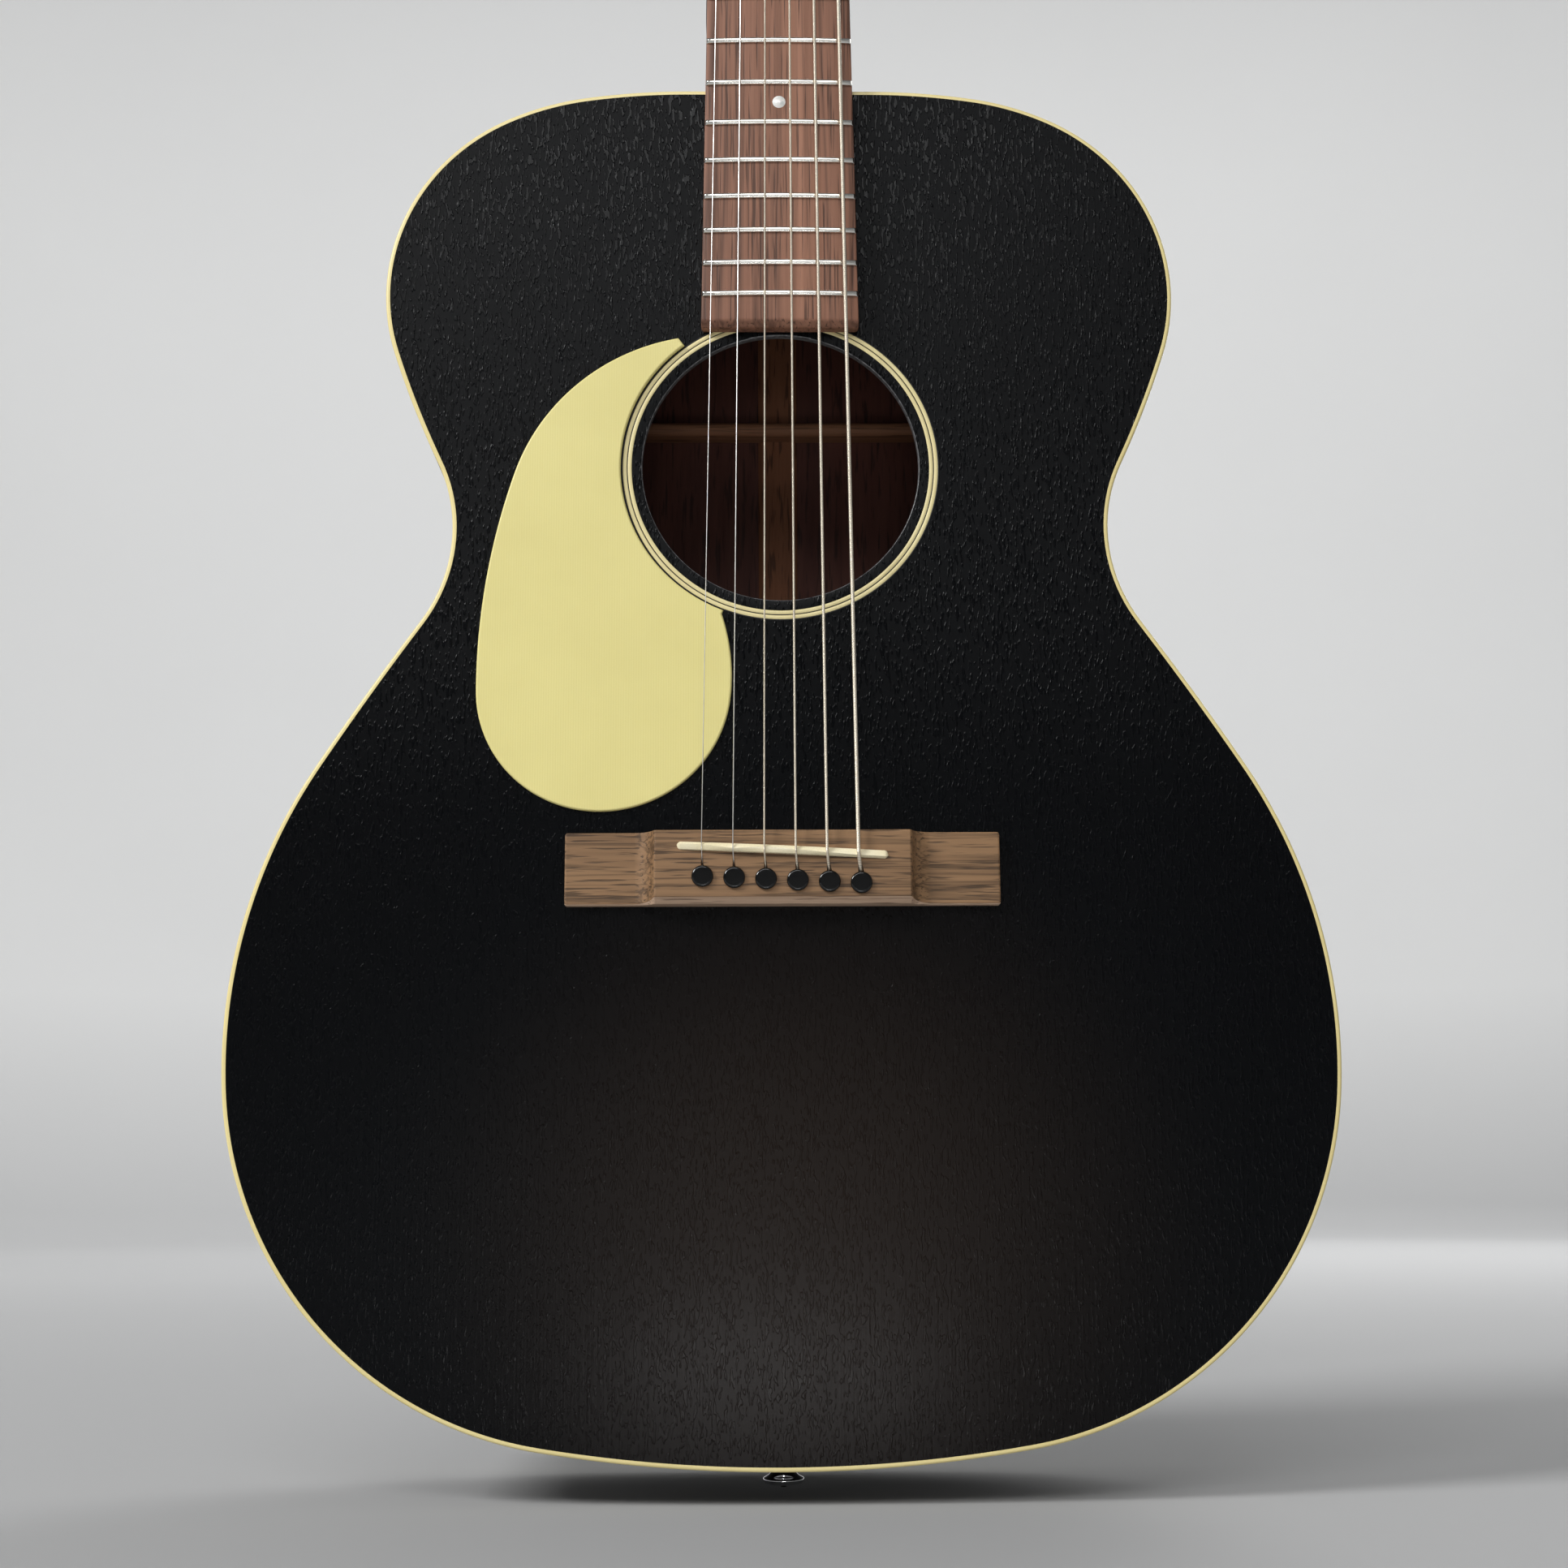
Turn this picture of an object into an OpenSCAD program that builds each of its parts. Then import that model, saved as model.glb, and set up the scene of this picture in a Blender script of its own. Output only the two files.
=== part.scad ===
// Left-handed 000-size steel-string acoustic guitar.
// Z runs up the neck, the front faces -Y and +X is the bass side.
// The origin is on the strap pin's axis where it leaves the tail.

/* [Body] */
// Depth from the front face to the strap pin's axis
pin_y = 52.5; // [48:0.5:57]
// Thickness of the top plate
top_t = 2.9; // [2.6:0.1:3.4]
// Thickness of the back plate
back_t = 2.6; // [2.4:0.1:3]
// Thickness of the bent sides
side_t = 2.2; // [1.9:0.1:2.6]
// Greatest depth of the body
body_d = 105.3; // [104:0.1:107]
// Radius of the arched back
dome_r = 4572; // [4200:10:5200]
// Height above the tail of the back's deepest point
dome_z = 51; // [40:1:60]
// Width of the edge binding
bind_w = 1.6; // [1.2:0.1:1.8]
// Height of the edge binding
bind_h = 5.5; // [4.5:0.1:6.5]

/* [Sound hole] */
// Height of the sound hole's centre above the tail
hole_z = 346; // [344:0.5:347]
// Radius of the sound hole
hole_r = 49.5; // [48:0.1:50]
// Inner radius of the rosette
rosette_in = 53.3; // [52:0.1:53.5]
// Outer radius of the rosette
rosette_out = 56.9; // [56:0.1:57]
// Thickness of the pickguard
guard_t = 1.4; // [1:0.1:1.8]
// Gap radius between the pickguard and the rosette
guard_r = 57.2; // [57.1:0.1:58]

/* [Strings] */
// Length from the nut to the theoretical saddle line
scale_len = 632.46; // [630:0.01:635]
// Spread of the outer strings at the nut
nut_spread = 36.6; // [35:0.1:37]
// Spread of the outer strings at the saddle
saddle_spread = 53.6; // [53:0.1:54.5]
// Height of the string path above the top at the saddle
saddle_h = 12.2; // [12:0.1:12.6]
// Height of the string path above the top at the nut
nut_h = 7.95; // [7.9:0.05:8.2]

/* [Bridge] */
// Length of the bridge across the top
bridge_l = 150; // [146:1:154]
// Lower edge of the bridge above the tail
bridge_z = 187.3; // [186:0.1:188]
// Width of the bridge along the strings
bridge_w = 25.3; // [25:0.1:27]
// Height of the bridge's centre block
bridge_h = 9.5; // [9.3:0.1:9.7]
// Height of the bridge's thin wings
wing_h = 3.2; // [2.8:0.1:3.8]
// Thickness of the saddle
saddle_t = 2.8; // [2.2:0.1:3]

/* [Neck] */
// Width at the nut
nut_w = 42.9; // [42.5:0.1:44.5]
// Widening of the fingerboard for each millimetre from the nut
flare = 0.0315; // [0.03:0.0005:0.033]
// Thickness of the fingerboard along its centre
board_t = 6.35; // [6:0.05:6.6]
// Radius of the fingerboard's crown
board_r = 406.4; // [380:0.1:450]
// Height above the tail where the fingerboard ends
board_end = 397; // [394:0.1:398]
// Number of frets
frets_n = 20; // [18:1:20]
// Neck wood behind the fingerboard at the nut
neck_thin = 14.6; // [14:0.1:15]
// Extra neck wood gained towards the body
neck_gain = 3.2; // [2.5:0.1:4]
// Backward tilt of the headstock
head_tilt = 15; // [13:0.5:16]
// Length of the headstock
head_l = 166; // [162:1:170]
// Thickness of the headstock behind its face plate
head_t = 13; // [12.5:0.1:13.5]
// Thickness of the headstock's face plate
plate_t = 2; // [1.5:0.1:2.5]

/* [Tuners] */
// Radius of the string posts
post_r = 3.175; // [3:0.005:3.3]
// Number of teeth on each gear
gear_n = 14; // [14:1:14]
// Axial pitch of the worm thread
worm_pitch = 2.67; // [2.67:0.01:2.67]
// Distance between the post's axis and the worm's axis
mesh_gap = 8.85; // [8.85:0.01:8.95]
// Depth of the gear's middle behind the headstock's face
gear_y = 20.2; // [20.2:0.1:20.6]

/* [Hidden] */
$fn = 96;
eps = 0.01;
dome_fn = 256;
arc_step = 8;

// Half of the body's outline from the tail's middle round to the neck joint:
// radius and sweep of each arc, negative where the outline is hollow.
body_arcs = [
    [505, 9.3],                                // tail
    [130, 76.5], [184, 36.5], [1150, 3.1],     // lower bout
    [-58, 60.9],                               // waist
    [357, 7.2], [75, 83], [103, 16.9],         // upper bout
    [257, 8.4]                                 // shoulder
];
// The pickguard's outer edge, clockwise from its lower inner corner.
guard_start = [-21, 291.3];
guard_heading = -72;
guard_arcs = [[-72.6, 23.4], [-45.8, 91.5], [-43.5, 82.3], [-247.9, 18.8], [-75.3, 61.8]];

gauges = [0.305, 0.406, 0.635, 0.813, 1.067, 1.372];
winding_turns = [5, 5, 4, 3, 3, 2];
lining_w = 5;
lining_h = 14;
brace_w = 8;
brace_h = 14;
back_brace_z = [95, 200, 298, 390];
back_brace_w = 5.6;
back_brace_h = 9.5;
end_bevel = 2.2;
strip_w = 15.6;
strip_t = 1.6;
block_w = 76;
block_z = 452;
end_block_w = 70;
end_block_z = 22;
bridge_plate_t = 2.5;
x_cross_z = 271;
x_angle = 49;
scoop_r = 7.5;
scoop_x = 51.6;
bridge_chamfer = 2.2;
pin_hole_r = 2.6;
pin_shank_r = 2.5;
pin_first = [-27.5, 196.5];
pin_step = [10.86, -0.46];
pin_head_r = 3.75;
pin_rim_h = 0.75;
pin_crown_h = 1;
ramp_h = 7.4;
saddle_ends = [[-36.3, 207.2], [36.1, 203.8]];
string_centre = -1;
nut_t = 6.4;
fret_r = 1.1;
fret_tang = 2;
tang_w = 0.56;
dot_r = 2.4;
dot_depth = 1.5;
heel_y = 81.5;
heel_l = 24;
heel_w = 15;
tenon_y = 70;
tenon_l = 18;
rod_w = 6;
rod_y = 10;
rod_end_y = 7.2;
rod_end_r = 2.4;
key_hole_r = 3.6;
string_gap = 0.12;
button_bore_r = 4.05;
post_z = [48, 88, 128];
post_x = [20.5, 22.5, 24.5];
wrap_y = 3.6;
base_t = 1.2;
bushing_r = 4.4;
tuner_hole_r = 3.5;
shaft_r = 1.25;
worm_root_r = 1.95;
worm_tip_r = 3.6;
worm_turns = 2.6;
lug_in = 4.4;
lug_t = 1.8;
running = 0.1;

function unit(v) = v / norm(v);
function rev(list) = [for (i = [len(list) - 1:-1:0]) list[i]];
function flip(list) = [for (p = list) [-p[0], p[1]]];
function normal(a) = [-sin(a), cos(a)];

// Points along a chain of tangent arcs, shifted to the left by inset.
function chain(arcs, p, h, inset = 0, i = 0) = i == len(arcs) ? [p + inset * normal(h)] :
    let (d = sign(arcs[i][0]), r = abs(arcs[i][0]), s = d * arcs[i][1], c = p + d * r * normal(h),
         n = max(2, ceil(r * arcs[i][1] * PI / 180 / arc_step)))
    concat([for (k = [0:n - 1]) c - d * (r - d * inset) * normal(h + s * k / n)],
           chain(arcs, c - d * r * normal(h + s), h + s, inset, i + 1));

function half(inset) = let (c = chain(body_arcs, [0, 0], 0, inset))
    concat(c, [[0, c[len(c) - 1][1]]]);
function outline(inset) = let (h = half(inset))
    concat(h, rev(flip([for (i = [1:len(h) - 2]) h[i]])));

joint_z = half(0)[len(half(0)) - 1][1];
nut_z = joint_z + scale_len * (1 - pow(2, -14 / 12));
nut_end = nut_z + nut_t;
head_y = -1.5;

function fret_z(n) = nut_z - scale_len * (1 - pow(2, -n / 12));
function board_w(z) = nut_w + flare * (nut_z - z);
function saddle_z(x) = let (a = saddle_ends[0], b = saddle_ends[1])
    a[1] + (x - a[0]) * (b[1] - a[1]) / (b[0] - a[0]);
function crest_drop(x) = x * x / (2 * board_r);
function pin_at(k) = pin_first + (k - 1) * pin_step;
function slot_z(k) = pin_at(k)[1] + pin_hole_r + 0.25 + gauges[k - 1] / 2;
function spread(k, width) = (k - 3.5) * width / 5;
function saddle_x(k) = string_centre + spread(k, saddle_spread);
// Height of a string's middle where it crosses the saddle.
function crest_y(k) = saddle_h - crest_drop(saddle_x(k)) + gauges[k - 1] / 2 + 0.06;

// A 2-D shape in X and Z, drawn as a slab from depth y0 to depth y1.
module slab(y0, y1) translate([0, y1, 0]) rotate([90, 0, 0]) linear_extrude(y1 - y0) children();
// Moves the body from its front face to the strap pin's axis.
module placed() translate([0, -pin_y, 0]) children();
// Everything in front of the back's outer face, or of a face inset from it.
module dome(inset) translate([0, body_d - dome_r, dome_z]) rotate([-94, 0, 0])
    sphere(r = dome_r - inset, $fn = dome_fn);
module ring(a, b) difference() { polygon(outline(a)); polygon(outline(b)); }
module along_y(p, y0, r, h) translate([p[0], y0, p[1]]) rotate([-90, 0, 0]) cylinder(r = r, h = h);

// Joins rings of points into one closed skin.
module skin(rings) {
    n = len(rings[0]);
    m = len(rings);
    sides = [for (j = [0:m - 2]) for (i = [0:n - 1]) let (a = j * n + i, b = j * n + (i + 1) % n)
        each [[a, b + n, b], [a, a + n, b + n]]];
    polyhedron([for (r = rings) each r],
        concat([[for (i = [0:n - 1]) i]], [[for (i = [n - 1:-1:0]) (m - 1) * n + i]], sides));
}

// ---- Body shell ----

module mortise() slab(-1, tenon_y) polygon(tenon_plan());
function tenon_plan() = [[-14, joint_z + eps], [14, joint_z + eps],
    [18, joint_z - tenon_l], [-18, joint_z - tenon_l]];

module pin_slots(y0, y1) for (k = [1:6]) {
    along_y(pin_at(k), y0, pin_hole_r, y1 - y0);
    translate([pin_at(k)[0] - gauges[k - 1] / 2 - 0.2, y0, pin_at(k)[1]])
        cube([gauges[k - 1] + 0.4, y1 - y0, slot_z(k) - pin_at(k)[1] + gauges[k - 1] / 2 + 0.2]);
}

module top() color("#241a16") placed() difference() {
    slab(0, top_t) polygon(outline(bind_w));
    along_y([0, hole_z], -1, hole_r, top_t + 2);
    slab(-1, 1) rosette_plan();
    pin_slots(-1, top_t + 1);
    mortise();
}

module back() color("#2a1c17") placed() difference() {
    intersection() {
        slab(60, body_d + 5) polygon(outline(bind_w));
        dome(0);
    }
    dome(back_t);
}

module side(s) difference() {
    intersection() {
        slab(top_t, body_d) polygon([for (p = concat(half(0), rev(half(side_t)))) [s * p[0], p[1]]]);
        dome(back_t);
    }
    slab(0, bind_h) ring(-1, bind_w);
    difference() {
        slab(60, body_d + 5) ring(-1, bind_w);
        dome(bind_h);
    }
    mortise();
    translate([0, pin_y, -1]) cylinder(r = button_bore_r, h = 5);
}
module side_bass() color("#2a1c17") placed() side(1);
module side_treble() color("#2a1c17") placed() side(-1);

module top_binding() color("#efe6a8") placed() difference() {
    slab(0, bind_h) ring(0, bind_w);
    mortise();
}

module back_binding() color("#efe6a8") placed() difference() {
    intersection() {
        slab(60, body_d + 5) ring(0, bind_w);
        dome(0);
    }
    dome(bind_h);
}

module block_gaps() {
    translate([-block_w / 2, -1, block_z]) cube([block_w, body_d + 9, 60]);
    translate([-end_block_w / 2, -1, -1]) cube([end_block_w, body_d + 9, end_block_z + 1]);
}

module top_lining() color("#8a6a4a") placed() difference() {
    slab(top_t, top_t + lining_h) ring(side_t, side_t + lining_w);
    block_gaps();
}

module back_lining() color("#8a6a4a") placed() difference() {
    intersection() {
        slab(60, body_d) ring(side_t, side_t + lining_w);
        dome(back_t);
    }
    dome(back_t + lining_h);
    block_gaps();
}

module block(x, z0, z1) intersection() {
    slab(top_t, body_d) intersection() {
        polygon(outline(side_t));
        translate([-x / 2, z0]) square([x, z1 - z0]);
    }
    dome(back_t);
}

module neck_block() color("#7a5236") placed() difference() {
    block(block_w, block_z, joint_z);
    mortise();
    rod_channel();
}

module end_block() color("#7a5236") placed() difference() {
    block(end_block_w, 0, end_block_z);
    translate([0, pin_y, -1]) cylinder(r = button_bore_r, h = end_block_z + 2);
}

// ---- Bracing ----

// A brace under the top from point p to point q, with its ends cut down.
module brace(p, q, w, h) {
    l = norm(q - p);
    translate([p[0], top_t, p[1]]) rotate([0, -atan2(q[1] - p[1], q[0] - p[0]), 0])
        translate([0, 0, -w / 2]) linear_extrude(w)
            polygon([[0, 0], [l, 0], [l, 2], [l - 22, h], [22, h], [0, 2]]);
}

module x_braces() color("#c9a877") placed() for (s = [-1, 1])
    brace([-106 * s, x_cross_z + 106 / tan(x_angle)], [172 * s, x_cross_z - 172 / tan(x_angle)],
        brace_w, brace_h);

module tone_bars() color("#c9a877") placed() {
    brace([75, 165], [-60, 120], 7, 12);
    brace([85, 118], [-30, 76], 7, 11);
}

module finger_braces() color("#c9a877") placed() for (s = [-1, 1]) {
    brace([74 * s, 226], [150 * s, 205], 6, 9);
    brace([108 * s, 192], [170 * s, 160], 6, 9);
    brace([56.5 * s, 335], [56.5 * s, 400], 7, 8);
}

module upper_brace() color("#c9a877") placed() difference() {
    brace([-132, 412], [132, 412], 12, 16);
    translate([0, rod_end_y, 400]) cylinder(r = key_hole_r, h = 24);
}

module bridge_plate() color("#6a3f2a") placed() difference() {
    slab(top_t, top_t + bridge_plate_t) polygon([[-44, 218], [44, 218], [72, 186], [-72, 186]]);
    pin_slots(-1, 9);
}

module back_bar_zones() for (z = back_brace_z)
    translate([-200, 60, z - back_brace_w / 2]) cube([400, 60, back_brace_w]);

module back_braces() color("#8d5a3c") placed() difference() {
    intersection() {
        slab(60, body_d) polygon(outline(side_t + lining_w + 0.5));
        back_bar_zones();
        dome(back_t);
    }
    dome(back_t + back_brace_h);
}

module back_strip() color("#a5734d") placed() difference() {
    intersection() {
        translate([-strip_w / 2, 60, end_block_z]) cube([strip_w, 60, block_z - end_block_z]);
        dome(back_t);
    }
    dome(back_t + strip_t);
    back_bar_zones();
}

// ---- Rosette and pickguard ----

module rosette_plan() translate([0, hole_z]) difference() {
    circle(r = rosette_out);
    circle(r = rosette_in);
}
module rosette() color("#e8dfb4") placed() slab(0, 1) rosette_plan();

module pickguard() color("#e9dea0") placed() slab(-guard_t, 0) difference() {
    polygon(concat([[0, hole_z]], chain(guard_arcs, guard_start, guard_heading)));
    translate([0, hole_z]) circle(r = guard_r);
}

// ---- Bridge ----

module bridge() color("#5b3624") placed() difference() {
    translate([0, 0, bridge_z]) linear_extrude(bridge_w) difference() {
        translate([-bridge_l / 2, -bridge_h]) square([bridge_l, bridge_h]);
        for (s = [-1, 1]) {
            translate([s * scoop_x, -wing_h - scoop_r]) circle(r = scoop_r);
            translate([s > 0 ? scoop_x : -bridge_l, -bridge_h - 1])
                square([bridge_l - scoop_x, bridge_h + 1 - wing_h]);
        }
    }
    translate([0, -bridge_h, bridge_z]) rotate([45, 0, 0])
        cube([bridge_l * 2, bridge_chamfer * sqrt(2), bridge_chamfer * sqrt(2)], center = true);
    saddle_place() linear_extrude(saddle_t + eps, center = true) translate([-36.4, -14]) square([72.8, 9.5]);
    pin_slots(-bridge_h - 1, 1);
    for (k = [1:6]) string_ramp(k);
}

// A groove that eases a string from its pin hole up towards the saddle.
module string_ramp(k) {
    p = pin_at(k);
    run = saddle_z(saddle_x(k)) - slot_z(k);
    slope = (crest_y(k) - ramp_h) / run;
    floor_y = ramp_h - 0.6 * gauges[k - 1] - string_gap;
    top_y = bridge_h + 0.3;
    translate([p[0], 0, slot_z(k)]) rotate([0, atan((saddle_x(k) - p[0]) / run), 0]) rotate([90, 0, 90])
        linear_extrude(gauges[k - 1] + 4 * string_gap, center = true)
            polygon([[-floor_y, 0], [-top_y, (top_y - floor_y) / slope],
                [-top_y - 1, (top_y - floor_y) / slope],
                [-top_y - 1, -pin_hole_r], [-floor_y, -pin_hole_r]]);
}

// Frame of the slanted saddle: X along it, Z across it.
module saddle_place() let (a = saddle_ends[0], b = saddle_ends[1])
    translate([(a[0] + b[0]) / 2, 0, (a[1] + b[1]) / 2])
        rotate([0, atan2(a[1] - b[1], b[0] - a[0]), 0]) children();

module saddle() color("#f0e8cf") placed() saddle_place() intersection() {
    translate([0, board_r - saddle_h, 0]) rotate_extrude(angle = 12, start = 264, $fn = 256) {
        translate([board_r - 12, -saddle_t / 2]) square([12 - saddle_t / 2, saddle_t]);
        translate([board_r - saddle_t / 2, 0]) circle(r = saddle_t / 2);
    }
    slab(-15, -4.5) for (s = [-1, 1]) {
        translate([-36.3 + saddle_t / 2, -saddle_t / 2]) square([72.6 - saddle_t, saddle_t]);
        translate([s * (36.3 - saddle_t / 2), 0]) circle(r = saddle_t / 2);
    }
}

module bridge_pins() color("#15110f") placed() for (k = [1:6])
    translate([pin_at(k)[0], -bridge_h, pin_at(k)[1]]) rotate([90, 0, 0]) rotate_extrude()
        polygon(concat([[0, -bridge_h - 5.2], [pin_shank_r - 0.2, -bridge_h - 5.2], [pin_shank_r, 0]],
            [for (a = [0:15:75]) [pin_head_r * cos(a), pin_rim_h + pin_crown_h * sin(a)]],
            [[0, pin_rim_h + pin_crown_h]]));

module end_pin() color("#c9ccd0") placed() translate([0, pin_y, 0]) rotate([180, 0, 0]) rotate_extrude()
    polygon([[0, -14], [3.2, -14], [4, -2], [4, 0], [6, 0], [6, 1.2], [4.2, 3], [4, 5.5], [5.4, 7.4],
        [7.35, 8.2], [7.35, 9.4], [6, 10.3], [3.4, 10.7], [0, 10.7]]);

// ---- Neck ----

function neck_d(z) = neck_thin + neck_gain * min(1, (nut_z - z) / 260);
function heel_reach(y) = heel_l + 123 * pow(1 - y / heel_y, 3.5);
function heel_half(y) = heel_w + (board_w(joint_z) / 2 - heel_w) * pow(1 - y / heel_y, 1.6);
function heel_depth(e) = e <= heel_l ? heel_y : e >= heel_l + 123 ? 0 :
    heel_y * (1 - pow((e - heel_l) / 123, 1 / 3.5));
function oval(s, p) = pow(max(0, 1 - pow(s, p)), 1 / p);
function half_width(y, z) = max(
    y < neck_d(z) ? board_w(z) / 2 * oval(y / neck_d(z), 2) : 0,
    heel_half(y) * oval(min(1, (z - joint_z) / heel_reach(y)), 2));
function mirrored_ring(side, z) = concat([for (p = side) [p[0], p[1], z]],
    [for (p = rev(side)) [-p[0], p[1], z]]);
neck_m = 9;
function shaft_ring(z) = let (b = max(neck_d(z), heel_depth(z - joint_z)))
    mirrored_ring([for (k = [0:neck_m]) let (y = b * sin(90 * k / neck_m))
        [max(0.3, half_width(y, z)), y]], z);
// Sections that turn the round shaft into the flat headstock.
function throat_ring(e) = let (y0 = head_y + plate_t / cos(head_tilt) + e * tan(head_tilt),
        d = head_t / cos(head_tilt), w = head_half(e))
    mirrored_ring([for (k = [0:neck_m]) let (s = sin(90 * k / neck_m))
        [max(0.3, w * oval(s, 2 + e / 4)), y0 + d * s]], nut_end + e);
function head_half(e) = nut_w / 2 + 7.5 * (e <= 0 ? 0 : e >= 16 ? 1 : (1 - cos(180 * e / 16)) / 2)
    + max(0, e - 16) * 0.05;

module head() translate([0, head_y, nut_end]) rotate([-head_tilt, 0, 0]) children();
function from_head(p) = [p[0], head_y + p[1] * cos(head_tilt) + p[2] * sin(head_tilt),
    nut_end - p[1] * sin(head_tilt) + p[2] * cos(head_tilt)];

function head_side() = concat([for (e = [0:2:16]) [head_half(e), e]],
    [for (a = [0:15:90]) [head_half(head_l) - 5 + 5 * cos(a), head_l - 5 + 5 * sin(a)]]);
function head_plan() = concat(head_side(), [[0, head_l + 1]], rev(flip(head_side())));
module post_places() for (s = [-1, 1]) for (i = [0:2])
    translate([s * post_x[i], 0, post_z[i]]) children();

module rod_channel() translate([-rod_w / 2 - 0.1, -1, block_z - 1]) cube([rod_w + 0.2, rod_y + 1.1, 390]);

module neck() color("#3a241a") placed() difference() {
    union() {
        skin(concat([for (i = [0:14]) shaft_ring(joint_z + 150 * pow(i / 14, 1.4))],
            [for (i = [1:4]) shaft_ring(joint_z + 150 + (nut_end - joint_z - 150) * i / 4)],
            [for (e = [0.1, 5, 10, 15, 20, 25]) throat_ring(e)]));
        slab(0, tenon_y) polygon(tenon_plan());
        head() slab(plate_t, plate_t + head_t) intersection() {
            polygon(head_plan());
            translate([-60, 22]) square([120, head_l]);
        }
    }
    rod_channel();
    head() post_places() {
        along_y([0, 0], 0, bushing_r, 6);
        along_y([0, 0], 5, tuner_hole_r, 15);
    }
}

module heel_cap() color("#16110f") placed() slab(heel_y, heel_y + 2.4)
    polygon([for (a = [0:7.5:180]) [heel_w * cos(a), joint_z + heel_l * sin(a)]]);

module headplate() color("#3b2218") placed() difference() {
    head() slab(0, plate_t) polygon(head_plan());
    head() post_places() along_y([0, 0], -1, bushing_r, 5);
    translate([-40, -10, nut_end - 10]) cube([80, 20, 10]);
}

module nut() color("#f0e8cf") placed() difference() {
    translate([0, 0, nut_z]) linear_extrude(nut_t) intersection() {
        translate([-nut_w / 2, -12]) square([nut_w, 12]);
        translate([0, board_r - 9]) circle(r = board_r, $fn = 256);
    }
    for (k = [1:6]) let (g = gauges[k - 1])
        translate([spread(k, nut_spread) - g / 2 - 0.06, 0, 0]) rotate([90, 0, 90]) linear_extrude(g + 0.12)
            polygon([[-nut_y(k) + 0.05, nut_z - 1], [-nut_y(k) + 0.05, nut_z + 0.5],
                [-nut_y(k) + 0.75, nut_end + 1], [-12, nut_end + 1], [-12, nut_z - 1]]);
}
// Height of a string's underside at the nut.
function nut_y(k) = nut_h - crest_drop(spread(k, nut_spread));

// ---- Fingerboard ----

module board_blank() intersection() {
    slab(-board_t - 1, 0) polygon([[-board_w(board_end) / 2, board_end], [board_w(board_end) / 2, board_end],
        [nut_w / 2, nut_z], [-nut_w / 2, nut_z]]);
    translate([0, board_r - board_t, board_end - 5]) cylinder(r = board_r, h = nut_z, $fn = 256);
}

module dot_holes(r) for (n = [5, 7, 9, 12, 15]) let (z = (fret_z(n) + fret_z(n - 1)) / 2)
    for (x = n == 12 ? [-9.5, 9.5] : [0]) along_y([x, z], -board_t - 1, r, dot_depth + 1);
module side_holes(r) for (n = [3, 5, 7, 9, 12, 15]) let (z = (fret_z(n) + fret_z(n - 1)) / 2)
    for (e = n == 12 ? [-2.5, 2.5] : [0])
        translate([board_w(z) / 2 - dot_depth, -3.2, z + e]) rotate([0, 90, 0]) cylinder(r = r, h = 4);

module fingerboard() color("#5a3324") placed() difference() {
    board_blank();
    for (n = [1:frets_n]) translate([-40, -board_t - 1, fret_z(n) - 0.3]) cube([80, 4.1, 0.6]);
    translate([-40, -board_t, board_end + end_bevel]) rotate([-45, 0, 0]) translate([0, -10, -8])
        cube([80, 10, 8]);
    dot_holes(dot_r);
    side_holes(1);
}

module frets() color("#b9bcc0") placed() for (n = [1:frets_n])
    let (a = asin((board_w(fret_z(n)) / 2 - 0.3) / board_r))
        translate([0, board_r - board_t, fret_z(n)])
            rotate_extrude(angle = 2 * a, start = 270 - a, $fn = 256)
            translate([board_r, 0]) {
                intersection() {
                    circle(r = fret_r, $fn = 48);
                    translate([0, -2]) square([2, 4]);
                }
                translate([-fret_tang, -tang_w / 2]) square([fret_tang + eps, tang_w]);
            }

module position_dots() color("#e6e3da") placed() intersection() {
    board_blank();
    dot_holes(dot_r);
}
module side_dots() color("#e6e3da") placed() intersection() {
    board_blank();
    side_holes(1);
}

module truss_rod() color("#8b8f94") placed() let (z0 = joint_z - tenon_l + 2, z1 = block_z - 14) {
    translate([-rod_w / 2, 0.2, z0]) cube([rod_w, rod_y - 0.5, nut_z - 8 - z0]);
    translate([0, rod_end_y, z1]) cylinder(r = rod_end_r, h = z0 - z1 + 1);
}
module truss_rod_nut() color("#b58b3c") placed() translate([0, rod_end_y, block_z - 18]) difference() {
    cylinder(r = 4, h = 16);
    translate([0, 0, 3.5]) cylinder(r = rod_end_r + 0.05, h = 20);
    translate([0, 0, -1]) cylinder(r = 2.9, h = 4, $fn = 6);
}

// ---- Strings ----

function post_of(k) = k <= 3 ? [-post_x[k - 1], post_z[k - 1]] : [post_x[6 - k], post_z[6 - k]];
// The wrap starts on the post's inner side and climbs by one gauge in a turn.
function wrap(k, a) = let (g = gauges[k - 1], r = post_r + g / 2 + running, p = post_of(k), s = sign(p[0]))
    from_head([p[0] - s * r * cos(a), -wrap_y - (g + 0.15) * a / 360, p[1] + r * sin(a)]);
function string_path(k) = let (g = gauges[k - 1], x = saddle_x(k))
    concat([
        [pin_at(k)[0], top_t + bridge_plate_t + 2.05, slot_z(k)],
        [pin_at(k)[0], -ramp_h, slot_z(k)],
        [x, -crest_y(k), saddle_z(x)],
        [spread(k, nut_spread), -nut_y(k) - g / 2, nut_z + 0.5],
        [spread(k, nut_spread), 0.55 - nut_y(k) - g / 2, nut_end - 0.2]
    ], [for (a = [0:15:300]) wrap(k, a)]);

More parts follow.
